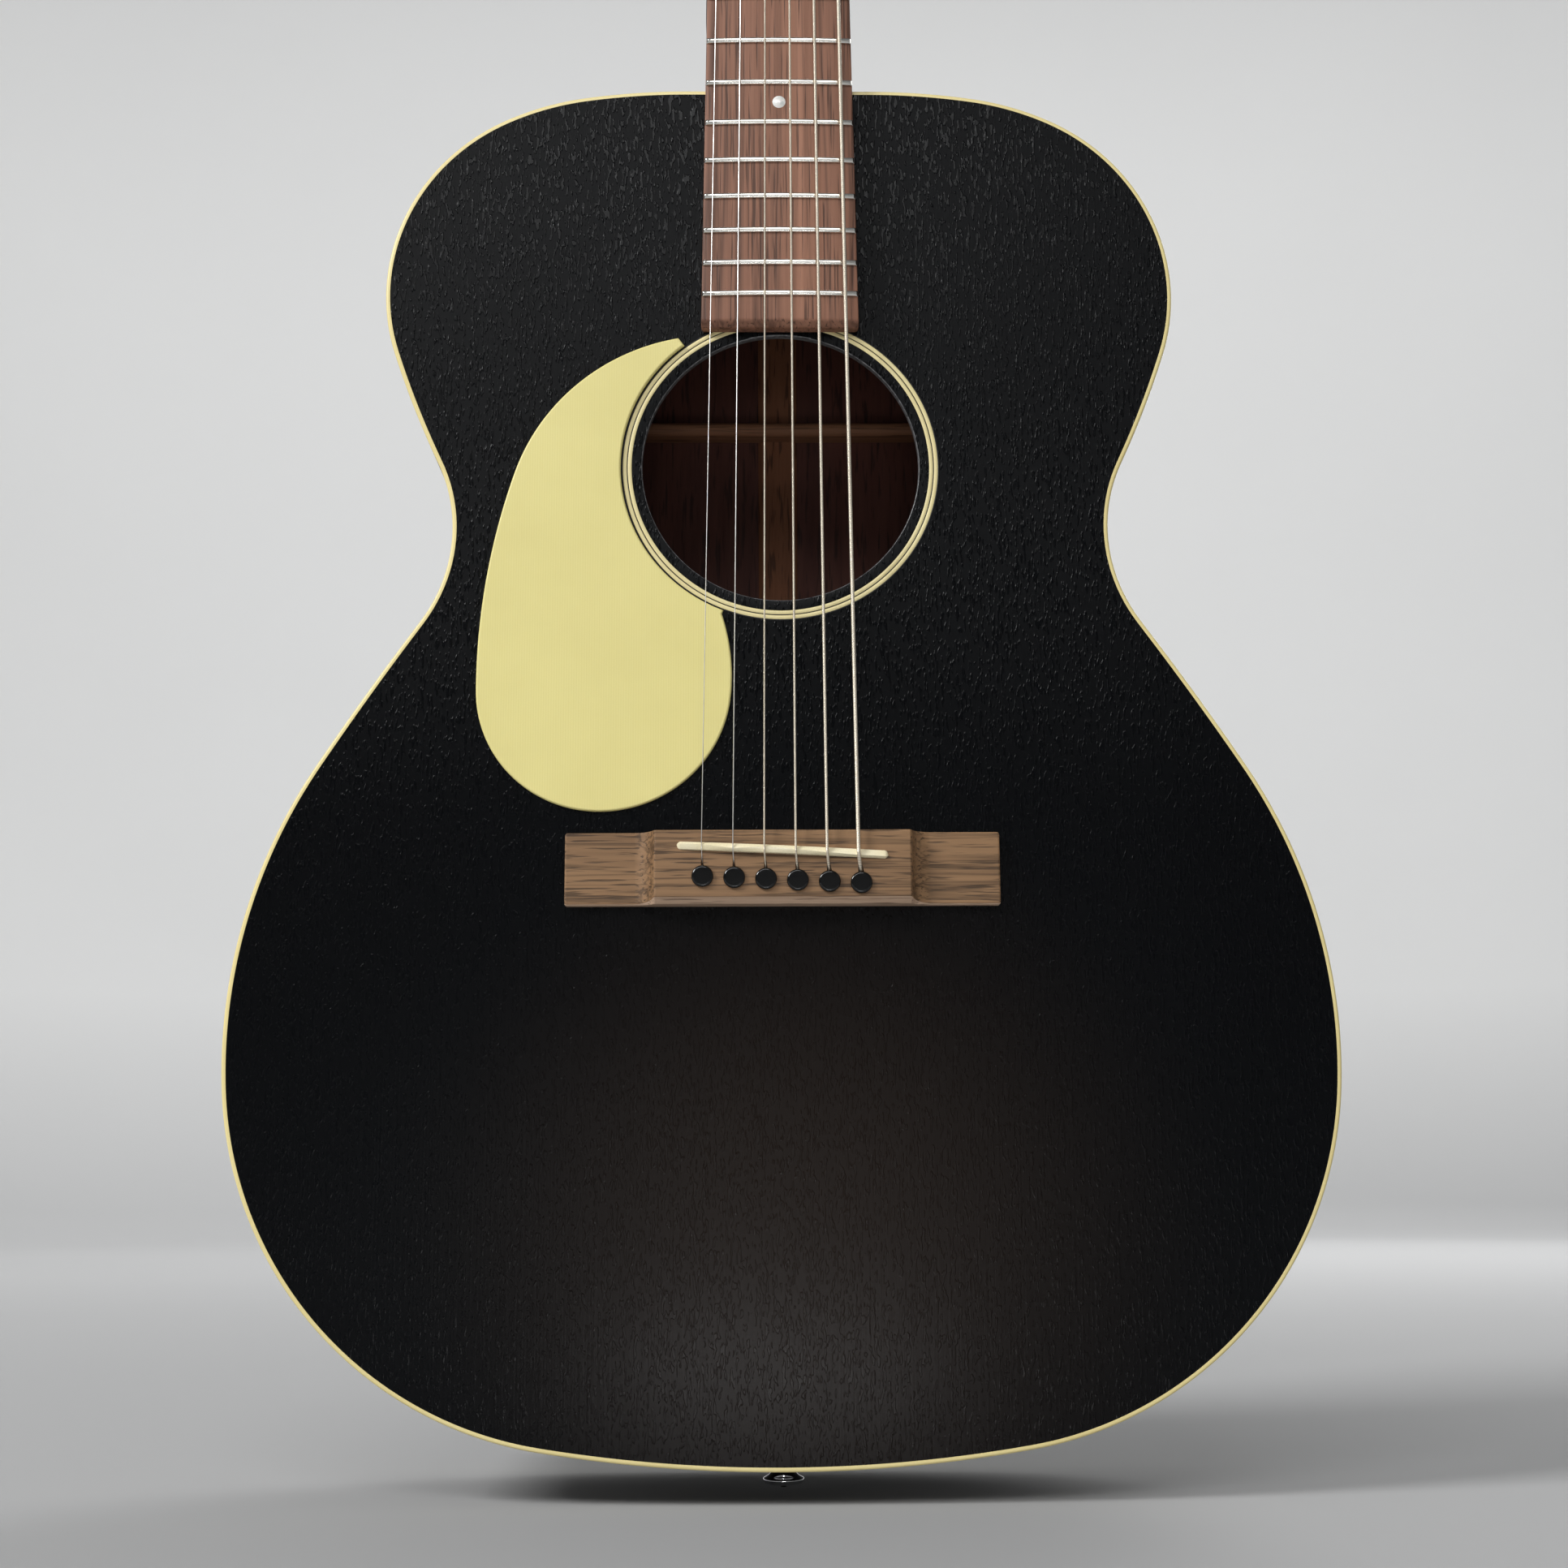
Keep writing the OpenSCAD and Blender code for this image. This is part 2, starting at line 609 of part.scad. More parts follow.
function tangent(path, i) = i == 0 ? unit(path[1] - path[0]) :
    i == len(path) - 1 ? unit(path[i] - path[i - 1]) :
    unit(unit(path[i + 1] - path[i]) + unit(path[i] - path[i - 1]));
function across(v, t) = unit(v - (v * t) * t);
function tube(path, r, v = [1, 0, 0], i = 0) = i == len(path) ? [] :
    let (t = tangent(path, i), u = across(v, t), w = cross(t, u))
    concat([[for (a = [0:45:315]) path[i] + r * (cos(a) * u + sin(a) * w)]], tube(path, r, u, i + 1));

module guitar_string(k) color(k < 3 ? "#c8c8c6" : "#b5793f") placed() {
    skin(tube(string_path(k), gauges[k - 1] / 2));
    translate(string_path(k)[0]) sphere(r = 2, $fn = 48);
}

module string_winding(k) color(k < 3 ? "#c8c8c6" : "#b5793f") placed()
    let (g = gauges[k - 1], p = post_of(k))
    head() translate([p[0], -wrap_y - (g + 0.15) * 300 / 360 - g / 2 - 0.15, p[1]]) rotate([90, 0, 0])
        rotate_extrude() {
            translate([post_r, 0]) square([g / 2, g * winding_turns[k - 1]]);
            for (i = [0:winding_turns[k - 1] - 1])
                translate([post_r + g / 2, g * (i + 0.5)]) circle(r = g / 2);
        }

// ---- Tuners ----

// Frame of one tuner, drawn for the bass side and mirrored for the treble side.
module tuner(k) head() let (p = post_of(k)) mirror([p[0] < 0 ? 1 : 0, 0, 0])
    translate([abs(p[0]), 0, p[1]]) children();

back_y = plate_t + head_t;

module tuner_plates() color("#c4c6c8") placed() for (k = [1:6]) tuner(k) difference() {
    union() {
        slab(back_y, back_y + base_t) for (z = [-12, 6.5]) {
            translate([-7, -12]) square([14, 18.5]);
            translate([0, z]) circle(r = 7);
        }
        for (x = [-lug_in - lug_t, lug_in]) translate([x, back_y, -mesh_gap - 3])
            cube([lug_t, gear_y - back_y + 3, 6]);
    }
    along_y([0, 0], back_y - 1, post_r + running, 4);
    translate([-20, gear_y, -mesh_gap]) rotate([0, 90, 0]) cylinder(r = shaft_r + 0.05, h = 40);
    for (z = [-15.5, 10]) along_y([0, z], back_y - 1, 1.3, 4);
}

module tuner_screws() color("#b9bcc0") placed() for (k = [1:6]) tuner(k) for (z = [-15.5, 10])
    translate([0, back_y + base_t, z]) rotate([-90, 0, 0]) difference() {
        intersection() {
            cylinder(r = 2.2, h = 1.3);
            translate([0, 0, -1.4]) sphere(r = 2.7);
        }
        translate([-3, -0.3, 0.8]) cube([6, 0.6, 2]);
    }

module tuner_bushings() color("#c4c6c8") placed() for (k = [1:6]) tuner(k) rotate([90, 0, 0]) difference() {
    union() {
        translate([0, 0, -6]) cylinder(r = bushing_r, h = 6.5);
        cylinder(r1 = 5.4, r2 = 4.8, h = 1.4);
    }
    translate([0, 0, -7]) cylinder(r = post_r + running, h = 10);
}

module tuner_post(k) color("#c4c6c8") placed() tuner(k) {
    difference() {
        along_y([0, 0], -15, post_r, gear_y + 15);
        translate([-5, -10.5, 0]) rotate([0, 90, 0]) cylinder(r = 0.9, h = 10);
        translate([-0.6, -16, -5]) cube([1.2, 2.4, 10]);
    }
    slab(gear_y - 1.2, gear_y + 1.2) polygon([for (i = [0:gear_n - 1]) let (a = (i + 0.5) * 360 / gear_n)
        each [for (q = [[5.1, -0.66], [6.8, -0.26], [6.8, 0.26], [5.1, 0.66]])
            [q[0] * sin(a) + q[1] * cos(a), -q[0] * cos(a) + q[1] * sin(a)]]]);
    difference() {
        along_y([0, 0], gear_y, 2.7, 2.9);
        translate([-4, gear_y + 2.2, -0.35]) cube([8, 2, 0.7]);
    }
}

function thread_ring(a) = let (x = worm_pitch * (a - 90) / 360)
    [for (q = [[worm_root_r - 0.2, 0.6], [worm_tip_r, 0.25], [worm_tip_r, -0.25], [worm_root_r - 0.2, -0.6]])
        [x + q[1], q[0] * cos(a), q[0] * sin(a)]];

module tuner_knob(k) color("#d3d4d6") placed() tuner(k) translate([0, gear_y, -mesh_gap]) {
    rotate([0, 90, 0]) {
        translate([0, 0, -lug_in - lug_t - 0.4]) cylinder(r = shaft_r, h = 26);
        translate([0, 0, -lug_in + 0.1]) cylinder(r = worm_root_r, h = 2 * lug_in - 0.2);
    }
    skin([for (i = [0:40]) thread_ring(90 + (i / 40 - 0.5) * worm_turns * 360)]);
    intersection() {
        rotate([0, 90, 0]) rotate_extrude() polygon([[0, 13], [2.6, 13], [2.9, 14], [2.6, 15.5], [4.5, 17],
            [7.4, 19.2], [8.6, 22.5], [8.6, 25.5], [7.6, 28.2], [5.2, 29.8], [0, 30.2]]);
        translate([10, -4, -10]) cube([25, 8, 20]);
    }
}

top();
back();
side_bass();
side_treble();
top_binding();
back_binding();
top_lining();
back_lining();
neck_block();
end_block();
x_braces();
tone_bars();
finger_braces();
upper_brace();
bridge_plate();
back_braces();
back_strip();
rosette();
pickguard();
bridge();
saddle();
bridge_pins();
end_pin();
neck();
heel_cap();
headplate();
nut();
fingerboard();
frets();
position_dots();
side_dots();
truss_rod();
truss_rod_nut();
tuner_plates();
tuner_bushings();
tuner_screws();
guitar_string(1);  // string_1
guitar_string(2);  // string_2
guitar_string(3);  // string_3
guitar_string(4);  // string_4
guitar_string(5);  // string_5
guitar_string(6);  // string_6
string_winding(1);  // string_winding_1
string_winding(2);  // string_winding_2
string_winding(3);  // string_winding_3
string_winding(4);  // string_winding_4
string_winding(5);  // string_winding_5
string_winding(6);  // string_winding_6
tuner_knob(1);  // tuner_knob_1
tuner_knob(2);  // tuner_knob_2
tuner_knob(3);  // tuner_knob_3
tuner_knob(4);  // tuner_knob_4
tuner_knob(5);  // tuner_knob_5
tuner_knob(6);  // tuner_knob_6
tuner_post(1);  // tuner_post_1
tuner_post(2);  // tuner_post_2
tuner_post(3);  // tuner_post_3
tuner_post(4);  // tuner_post_4
tuner_post(5);  // tuner_post_5
tuner_post(6);  // tuner_post_6
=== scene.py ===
import math

import bmesh
import bpy
from mathutils import Matrix, Vector


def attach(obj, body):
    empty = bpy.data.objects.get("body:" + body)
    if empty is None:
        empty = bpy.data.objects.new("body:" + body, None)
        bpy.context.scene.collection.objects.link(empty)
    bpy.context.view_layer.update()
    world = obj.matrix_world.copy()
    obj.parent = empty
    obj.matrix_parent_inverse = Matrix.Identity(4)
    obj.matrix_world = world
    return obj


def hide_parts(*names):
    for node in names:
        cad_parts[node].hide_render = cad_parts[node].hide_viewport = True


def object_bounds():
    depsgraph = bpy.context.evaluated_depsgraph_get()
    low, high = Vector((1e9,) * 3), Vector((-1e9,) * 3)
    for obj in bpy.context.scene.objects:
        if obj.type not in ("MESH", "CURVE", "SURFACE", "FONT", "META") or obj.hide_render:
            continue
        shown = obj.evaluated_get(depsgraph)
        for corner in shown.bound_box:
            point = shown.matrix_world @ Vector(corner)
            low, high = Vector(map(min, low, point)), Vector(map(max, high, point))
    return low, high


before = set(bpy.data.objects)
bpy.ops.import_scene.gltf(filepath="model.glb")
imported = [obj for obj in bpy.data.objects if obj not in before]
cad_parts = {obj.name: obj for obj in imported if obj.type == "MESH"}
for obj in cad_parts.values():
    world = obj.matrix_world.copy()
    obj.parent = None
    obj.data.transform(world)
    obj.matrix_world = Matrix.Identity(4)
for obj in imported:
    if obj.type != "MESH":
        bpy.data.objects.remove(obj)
CAD_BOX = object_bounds()

# Lengths are in millimetres in the guitar's own plane: x across, y into the body from its front face, z up
# the neck from the tail. place() turns such a point into the frame's metres. Only the materials' scales, the
# stage and the lights are in metres.
MM = 0.001
PIN_Y = 52.5
GUITAR = "guitar"


def sin(a):
    """Of an angle in degrees, as everywhere below."""
    return math.sin(math.radians(a))


def cos(a):
    """Of an angle in degrees too."""
    return math.cos(math.radians(a))


def turns(n):
    """The angles of n equal steps round a circle."""
    return [360 * i / n for i in range(n)]


def place(p):
    """A point of the guitar's plane, in the frame's metres."""
    return (p[0] * MM, (p[1] - PIN_Y) * MM, p[2] * MM)


# ---------------------------------------------------------------- dimensions, as in the CAD model
# Tangent arcs as (radius, degrees turned); a negative radius turns to the right.
BODY_ARCS = [
    (505, 9.3),
    (130, 76.5), (184, 36.5), (1150, 3.1),
    (-58, 60.9),
    (357, 7.2), (75, 83), (103, 16.9),
    (257, 8.4),
]
GUARD_START = (-21, 291.3)
GUARD_HEADING = -72
GUARD_ARCS = [(-72.6, 23.4), (-45.8, 91.5), (-43.5, 82.3), (-247.9, 18.8), (-75.3, 61.8)]
GUARD_T = 1.4
GUARD_R = 57.2
TOP_T, BACK_T, SIDE_T = 2.9, 2.6, 2.2
BIND_W, BIND_H = 1.6, 5.5
BODY_D, DOME_R, DOME_Z = 105.3, 4572, 51
HOLE_Z, HOLE_R = 346, 49.5
ROSETTE_IN, ROSETTE_OUT = 53.3, 56.9
SCALE_LEN = 632.46
NUT_W, NUT_T, NUT_H, NUT_CREST = 42.9, 6.4, 7.95, 8.98
NUT_SPREAD, SADDLE_SPREAD, STRING_CENTRE = 36.6, 53.6, -1.0
SADDLE_H, SADDLE_T = 12.2, 2.8
FLARE = 0.0315
BOARD_T, BOARD_R, BOARD_END, END_BEVEL = 6.35, 406.4, 397, 2.2
BRIDGE_L, BRIDGE_Z, BRIDGE_W, BRIDGE_H, WING_H, BRIDGE_CHAMFER = 150, 187.3, 25.3, 9.5, 3.2, 2.2
SCOOP_R, SCOOP_X = 7.5, 51.6
PIN_FIRST, PIN_STEP, PIN_HEAD_R = (-27.5, 196.5), (10.86, -0.46), 3.75
SADDLE_ENDS = ((-36.3, 207.2), (36.1, 203.8))
# How far each string's breaking point sits from the saddle's middle, towards the pins where positive.
COMPENSATION = (-0.55, 0.35, -0.55, -0.1, 0.4, 0.75)
RAMP_H = 7.4
STRINGS = range(1, 7)
GAUGES = (0.305, 0.406, 0.635, 0.813, 1.067, 1.372)
WINDING_TURNS = (5, 5, 4, 3, 3, 2)
NECK_THIN, NECK_GAIN = 14.6, 3.2
HEEL_Y, HEEL_L, HEEL_W, HEEL_RUN = 81.5, 24, 15, 123
HEAD_TILT, HEAD_L, HEAD_PEAK, HEAD_T, PLATE_T, HEAD_Y = 15, 166, 1, 13, 2, -1.5
HEAD_R, HEAD_FLARE, HEAD_FLARE_L, HEAD_TAPER = 5, 7.5, 16, 0.05
PIN_HOLE_R, POST_HOLE_R, BUSHING_HOLE_R = 2.75, 3.5, 4.42
FRET_HALF_W, FRET_H, FRET_SLOPE = 1.1, 1.09, 0.75
POST_X, POST_Z, POST_R, WRAP_Y = (20.5, 22.5, 24.5), (48, 88, 128), 3.175, 3.6
GEAR_Y, MESH_GAP, WORM_PITCH = 20.2, 8.85, 2.67
LINING_W, LINING_H = 5, 14
BACK_BRACE_Z, BACK_BRACE_W, BACK_BRACE_H = (95, 200, 298, 390), 5.6, 9.5
BLOCK_W, BLOCK_Z, END_BLOCK_W, END_BLOCK_Z = 76, 452, 70, 22


# ---------------------------------------------------------------- outlines
def normal(a):
    """The direction to the left of a heading."""
    return Vector((-sin(a), cos(a)))


def chain(arcs, start, heading, inset=0.0, step=3.0):
    """Points along tangent arcs, moved to the left by inset."""
    p, h, out = Vector(start), heading, []
    for r, sweep in arcs:
        d, r = (1 if r > 0 else -1), abs(r)
        centre = p + d * r * normal(h)
        n = max(4, math.ceil(r * math.radians(sweep) / step))
        out += [centre - d * (r - d * inset) * normal(h + d * sweep * k / n) for k in range(n)]
        h += d * sweep
        p = centre - d * r * normal(h)
    out.append(p + inset * normal(h))
    return out


def outline(inset, step=3.0):
    """The body's closed outline, from the tail's middle round by the bass side."""
    half = chain(BODY_ARCS, (0, 0), 0, inset, step)
    top = half[-1][1]
    half += [Vector((half[-1][0] * k / 6, top)) for k in (5, 4, 3, 2, 1)]
    return half + [Vector((0, top))] + [Vector((-p[0], p[1])) for p in reversed(half[1:])]


JOINT_Z = chain(BODY_ARCS, (0, 0), 0)[-1][1]
NUT_Z = JOINT_Z + SCALE_LEN * (1 - 2 ** (-14 / 12))
NUT_END = NUT_Z + NUT_T


def dome(x, z, inset):
    """Depth of the arched back's face, or of a face inset from it."""
    return BODY_D - DOME_R + math.sqrt((DOME_R - inset) ** 2 - x * x - (z - DOME_Z) ** 2)


def board_w(z):
    """Width of the fingerboard, which widens towards the body."""
    return NUT_W + FLARE * (NUT_Z - z)


def fret_z(n):
    return NUT_Z - SCALE_LEN * (1 - 2 ** (-n / 12))


def spread(k, width):
    """Place across of string k, of six spread over a width."""
    return (k - 3.5) * width / 5


def crest_drop(x):
    """How far the crowned board, nut and saddle fall away from their middle."""
    return x * x / (2 * BOARD_R)


def pin_at(k):
    return (PIN_FIRST[0] + (k - 1) * PIN_STEP[0], PIN_FIRST[1] + (k - 1) * PIN_STEP[1])


def slot_z(k):
    """Where a string rises through the bridge, against the upper wall of its pin hole."""
    return pin_at(k)[1] + 2.85 + GAUGES[k - 1] / 2


def saddle_z(x):
    (x0, z0), (x1, z1) = SADDLE_ENDS
    return z0 + (x - x0) * (z1 - z0) / (x1 - x0)


# The finer arcs here bulge a hair past the CAD model's, so the outer faces are drawn in by this much.
SKIN = 0.012

COS_T, SIN_T = cos(HEAD_TILT), sin(HEAD_TILT)


def from_head(p):
    """A point in the tilted headstock's frame, x across, y back from its face, z up from the nut."""
    return (p[0], HEAD_Y + p[1] * COS_T + p[2] * SIN_T, NUT_END - p[1] * SIN_T + p[2] * COS_T)


def post_of(k):
    """A tuner post's place in the headstock's frame."""
    return (-POST_X[k - 1], POST_Z[k - 1]) if k <= 3 else (POST_X[6 - k], POST_Z[6 - k])


# ---------------------------------------------------------------- materials
class Nodes:
    """A short way to wire one material's nodes."""

    def __init__(self, name):
        self.mat = bpy.data.materials.new(name)
        self.mat.use_nodes = True
        self.tree = self.mat.node_tree
        self.shader = self.tree.nodes["Principled BSDF"]
        self.coords = self.tree.nodes.new("ShaderNodeTexCoord").outputs["Object"]

    def set(self, **values):
        for key, value in values.items():
            self.shader.inputs[key.replace("_", " ")].default_value = value
        return self

    def node(self, kind, inputs=(), **props):
        n = self.tree.nodes.new(kind)
        for key, value in props.items():
            setattr(n, key, value)
        for key, value in dict(inputs).items():
            if isinstance(value, bpy.types.NodeSocket):
                self.tree.links.new(value, n.inputs[key])
            else:
                n.inputs[key].default_value = value
        return n

    def stretch(self, scale):
        """Object coordinates in metres, multiplied along each axis."""
        return self.node("ShaderNodeMapping", {"Vector": self.coords, "Scale": scale}).outputs[0]

    def noise(self, scale, detail=3.0, rough=0.55, distortion=0.0):
        settings = {"Vector": self.stretch(scale), "Scale": 1.0, "Detail": detail, "Roughness": rough,
                    "Distortion": distortion}
        return self.node("ShaderNodeTexNoise", settings).outputs["Fac"]

    def wave(self, scale, axis, distortion, **settings):
        """Soft bands across an axis."""
        settings = {"Vector": self.stretch(scale), "Distortion": distortion, **settings}
        return self.node("ShaderNodeTexWave", settings, wave_type="BANDS", bands_direction=axis,
                         wave_profile="SIN").outputs["Fac"]

    def ramp(self, value, stops, mode="LINEAR"):
        """A colour ramp; stops are (place, colour or grey)."""
        n = self.node("ShaderNodeValToRGB", {"Fac": value})
        n.color_ramp.interpolation = mode
        while len(n.color_ramp.elements) < len(stops):
            n.color_ramp.elements.new(0.5)
        for e, (at, colour) in zip(n.color_ramp.elements, stops):
            e.position = at
            e.color = (colour,) * 3 + (1,) if isinstance(colour, (int, float)) else (*colour, 1)
        return n.outputs[0]

    def mix(self, a, b, fac):
        """From colour a to colour b; each may be a socket."""
        a, b = (v if isinstance(v, bpy.types.NodeSocket) else (*v, 1) for v in (a, b))
        return self.node("ShaderNodeMix", {0: fac, 6: a, 7: b}, data_type="RGBA").outputs[2]

    def math(self, op, a, b):
        return self.node("ShaderNodeMath", {0: a, 1: b}, operation=op).outputs[0]

    def link(self, value, socket):
        self.tree.links.new(value, self.shader.inputs[socket])

    def bump(self, height, distance):
        """distance is the bump's depth in millimetres."""
        n = self.node("ShaderNodeBump", {"Height": height, "Distance": distance * MM, "Strength": 1.0})
        self.link(n.outputs[0], "Normal")


def wood(name, light, dark, streak, rough, along="z", run=6.0, pore=(900.0, 30.0), pore_dark=0.35,
         contrast=0.5, vein=(200.0, 6.0), vein_dark=0.0):
    """Open-grained wood: slow colour bands, fine streaks, thin dark veins and short pores, all drawn out
    along one axis."""
    m = Nodes(name)

    def aim(across, length):
        return {"z": (across, across, length), "x": (length, across, across)}[along]

    bands = m.noise(aim(streak * 0.35, run * 0.5), 4, 0.6, 0.6)
    fine = m.noise(aim(streak * 3.2, run * 1.5), 5, 0.65, 0.3)
    grain = m.math("ADD", m.math("MULTIPLY", bands, 0.6), m.math("MULTIPLY", fine, 0.4))
    reach = 0.22 - 0.15 * (1 - contrast)
    middle = tuple((a + b) / 2 for a, b in zip(light, dark))
    colour = m.ramp(grain, [(0.5 - reach, dark), (0.5, middle), (0.5 + reach, light)])
    deep = tuple(c * pore_dark for c in dark)
    if vein_dark:
        veins = m.ramp(m.noise(aim(*vein), 3, 0.5, 0.5), [(0.44, 0), (0.5, 1), (0.56, 0)])
        depth = m.math("MULTIPLY", veins, vein_dark)
        depth = m.math("MULTIPLY", depth, m.ramp(bands, [(0.35, 1), (0.65, 0.25)]))
        colour = m.mix(colour, deep, depth)
    pores = m.ramp(m.noise(aim(*pore), 2, 0.5), [(0.56, 0), (0.66, 1)])
    colour = m.mix(colour, deep, m.math("MULTIPLY", pores, 0.75))
    m.link(colour, "Base Color")
    m.link(m.ramp(fine, [(0.2, rough + 0.1), (0.8, rough - 0.06)]), "Roughness")
    m.bump(m.math("SUBTRACT", m.math("MULTIPLY", fine, 0.35), pores), 0.05)
    m.set(Specular_IOR_Level=0.35)
    return m.mat


def dark_top():
    """Near-black stained mahogany under a thin satin film; its open pores tilt the film and glint."""
    m = Nodes("satin_black_mahogany")
    broad = m.noise((7, 7, 4), 2, 0.5)
    pores = m.ramp(m.noise((1100, 1100, 290), 1, 0.5, 0.2), [(0.53, 0), (0.61, 1)])
    lines = m.noise((1500, 500, 10), 2, 0.6)
    # A round brown patch low on the lower bout is partly painted glow: the stain's brown is painted only
    # where the low lamps' light pools there.
    centre = m.node("ShaderNodeVectorMath", {0: m.coords, 1: (0.01, 0.0, 0.08)}, operation="DISTANCE")
    painted_glow = m.ramp(m.math("MULTIPLY", centre.outputs["Value"], 5.0), [(0.10, 1), (0.80, 0)], "EASE")
    colour = m.mix((0.0003, 0.0006, 0.0012), (0.0105, 0.0060, 0.0038), painted_glow)
    m.link(colour, "Base Color")
    rough = m.ramp(broad, [(0.3, 0.22), (0.7, 0.26)])
    # Above the waist the film is thin and stands open over the pores; below it is fuller and more even.
    height = m.node("ShaderNodeSeparateXYZ", {"Vector": m.coords}).outputs["Z"]
    open_film = m.ramp(height, [(0.22, 0.15), (0.36, 1)])
    dull = m.math("MULTIPLY", m.math("SUBTRACT", 1.0, pores), open_film)
    m.link(m.mix(rough, (0.48, 0.48, 0.48), dull), "Roughness")
    m.bump(m.math("ADD", m.math("MULTIPLY", pores, m.math("ADD", open_film, 0.35)),
                  m.math("MULTIPLY", lines, 0.3)), 0.13)
    m.set(Specular_IOR_Level=0.13)
    return m.mat


def dark_mahogany_body():
    m = Nodes("satin_dark_mahogany")
    pores = m.ramp(m.noise((1100, 1100, 95), 3, 0.62), [(0.42, 0), (0.62, 1)])
    bands = m.noise((60, 60, 5), 4, 0.6, 0.5)
    colour = m.mix((0.0075, 0.0058, 0.0052), (0.020, 0.0115, 0.0082), m.ramp(bands, [(0.35, 0), (0.65, 1)]))
    m.link(colour, "Base Color")
    m.link(m.ramp(bands, [(0.3, 0.38), (0.7, 0.50)]), "Roughness")
    m.bump(pores, 0.06)
    m.set(Specular_IOR_Level=0.45)
    return m.mat


def plastic(name, colour, shade, rough, bump, mottle=30.0, coat=0.0, fine=900.0):
    """Cast sheet or moulded plastic: faint clouding and a very light surface texture."""
    m = Nodes(name)
    clouds = m.noise((mottle,) * 3, 3, 0.5)
    m.link(m.mix(colour, shade, m.ramp(clouds, [(0.3, 0), (0.8, 1)])), "Base Color")
    texture = m.noise((fine,) * 3, 3, 0.6)
    m.link(m.ramp(texture, [(0.3, rough - 0.05), (0.7, rough + 0.06)]), "Roughness")
    m.bump(texture, bump)
    m.set(Coat_Weight=coat, Coat_Roughness=0.08)
    return m.mat


def pickguard_sheet():
    """Cream sheet with very fine upright ribs and a little translucency."""
    m = Nodes("cream_pickguard")
    clouds = m.noise((26, 26, 26), 3, 0.5)
    ribs = m.wave((1, 1, 0.015), "X", 0.5, Scale=360.0, Detail=1.0)
    colour = m.mix((0.80, 0.72, 0.30), (0.74, 0.66, 0.265), m.ramp(clouds, [(0.35, 0), (0.75, 1)]))
    colour = m.mix(colour, (0.68, 0.59, 0.22), m.math("MULTIPLY", ribs, 0.3))
    m.link(colour, "Base Color")
    m.link(m.ramp(clouds, [(0.3, 0.36), (0.7, 0.43)]), "Roughness")
    m.bump(ribs, 0.012)
    m.set(Subsurface_Weight=0.08, Subsurface_Radius=(0.002, 0.0016, 0.0008), Specular_IOR_Level=0.4)
    return m.mat


def metal(name, colour, rough, brushed=None, spots=0.06):
    m = Nodes(name)
    m.set(Metallic=1.0)
    stain = m.noise((240, 240, 240), 4, 0.6)
    dull = tuple(c * 0.86 for c in colour)
    m.link(m.mix(colour, dull, m.ramp(stain, [(0.4, 0), (0.75, 1)])), "Base Color")
    m.link(m.ramp(stain, [(0.3, rough), (0.8, rough + spots)]), "Roughness")
    lines = m.noise(brushed or (1500, 1500, 1500), 2, 0.5)
    m.bump(lines, 0.0015)
    return m.mat


def wound_string(name, pitch, colour):
    """Round wrap wire: a wave along the string, with painted shade that makes the grooves darker than the
    wire's crowns.
    """
    m = Nodes(name)
    m.set(Metallic=0.7)
    # A wave of scale 1 repeats every 0.314 of a unit.
    wave = m.wave((1, 1, 1), "Z", 0.0, Scale=0.314 / (pitch * MM))
    # Painted shade: the grooves between the turns are darkened in the colour.
    groove_shade = tuple(c * 0.6 for c in colour)
    m.link(m.ramp(wave, [(0.05, groove_shade), (0.40, colour)]), "Base Color")
    m.link(m.ramp(wave, [(0.1, 0.5), (0.6, 0.27)]), "Roughness")
    m.bump(wave, 0.08)
    return m.mat


def pearl():
    m = Nodes("pearl_inlay")
    cloud = m.noise((420, 420, 420), 4, 0.6, 2.0)
    shades = [(0.3, (0.62, 0.66, 0.66)), (0.5, (0.86, 0.86, 0.82)), (0.7, (0.80, 0.74, 0.76))]
    m.link(m.ramp(cloud, shades), "Base Color")
    m.link(m.ramp(cloud, [(0.3, 0.14), (0.7, 0.26)]), "Roughness")
    m.set(Sheen_Weight=0.3, Coat_Weight=0.5)
    m.bump(cloud, 0.01)
    return m.mat


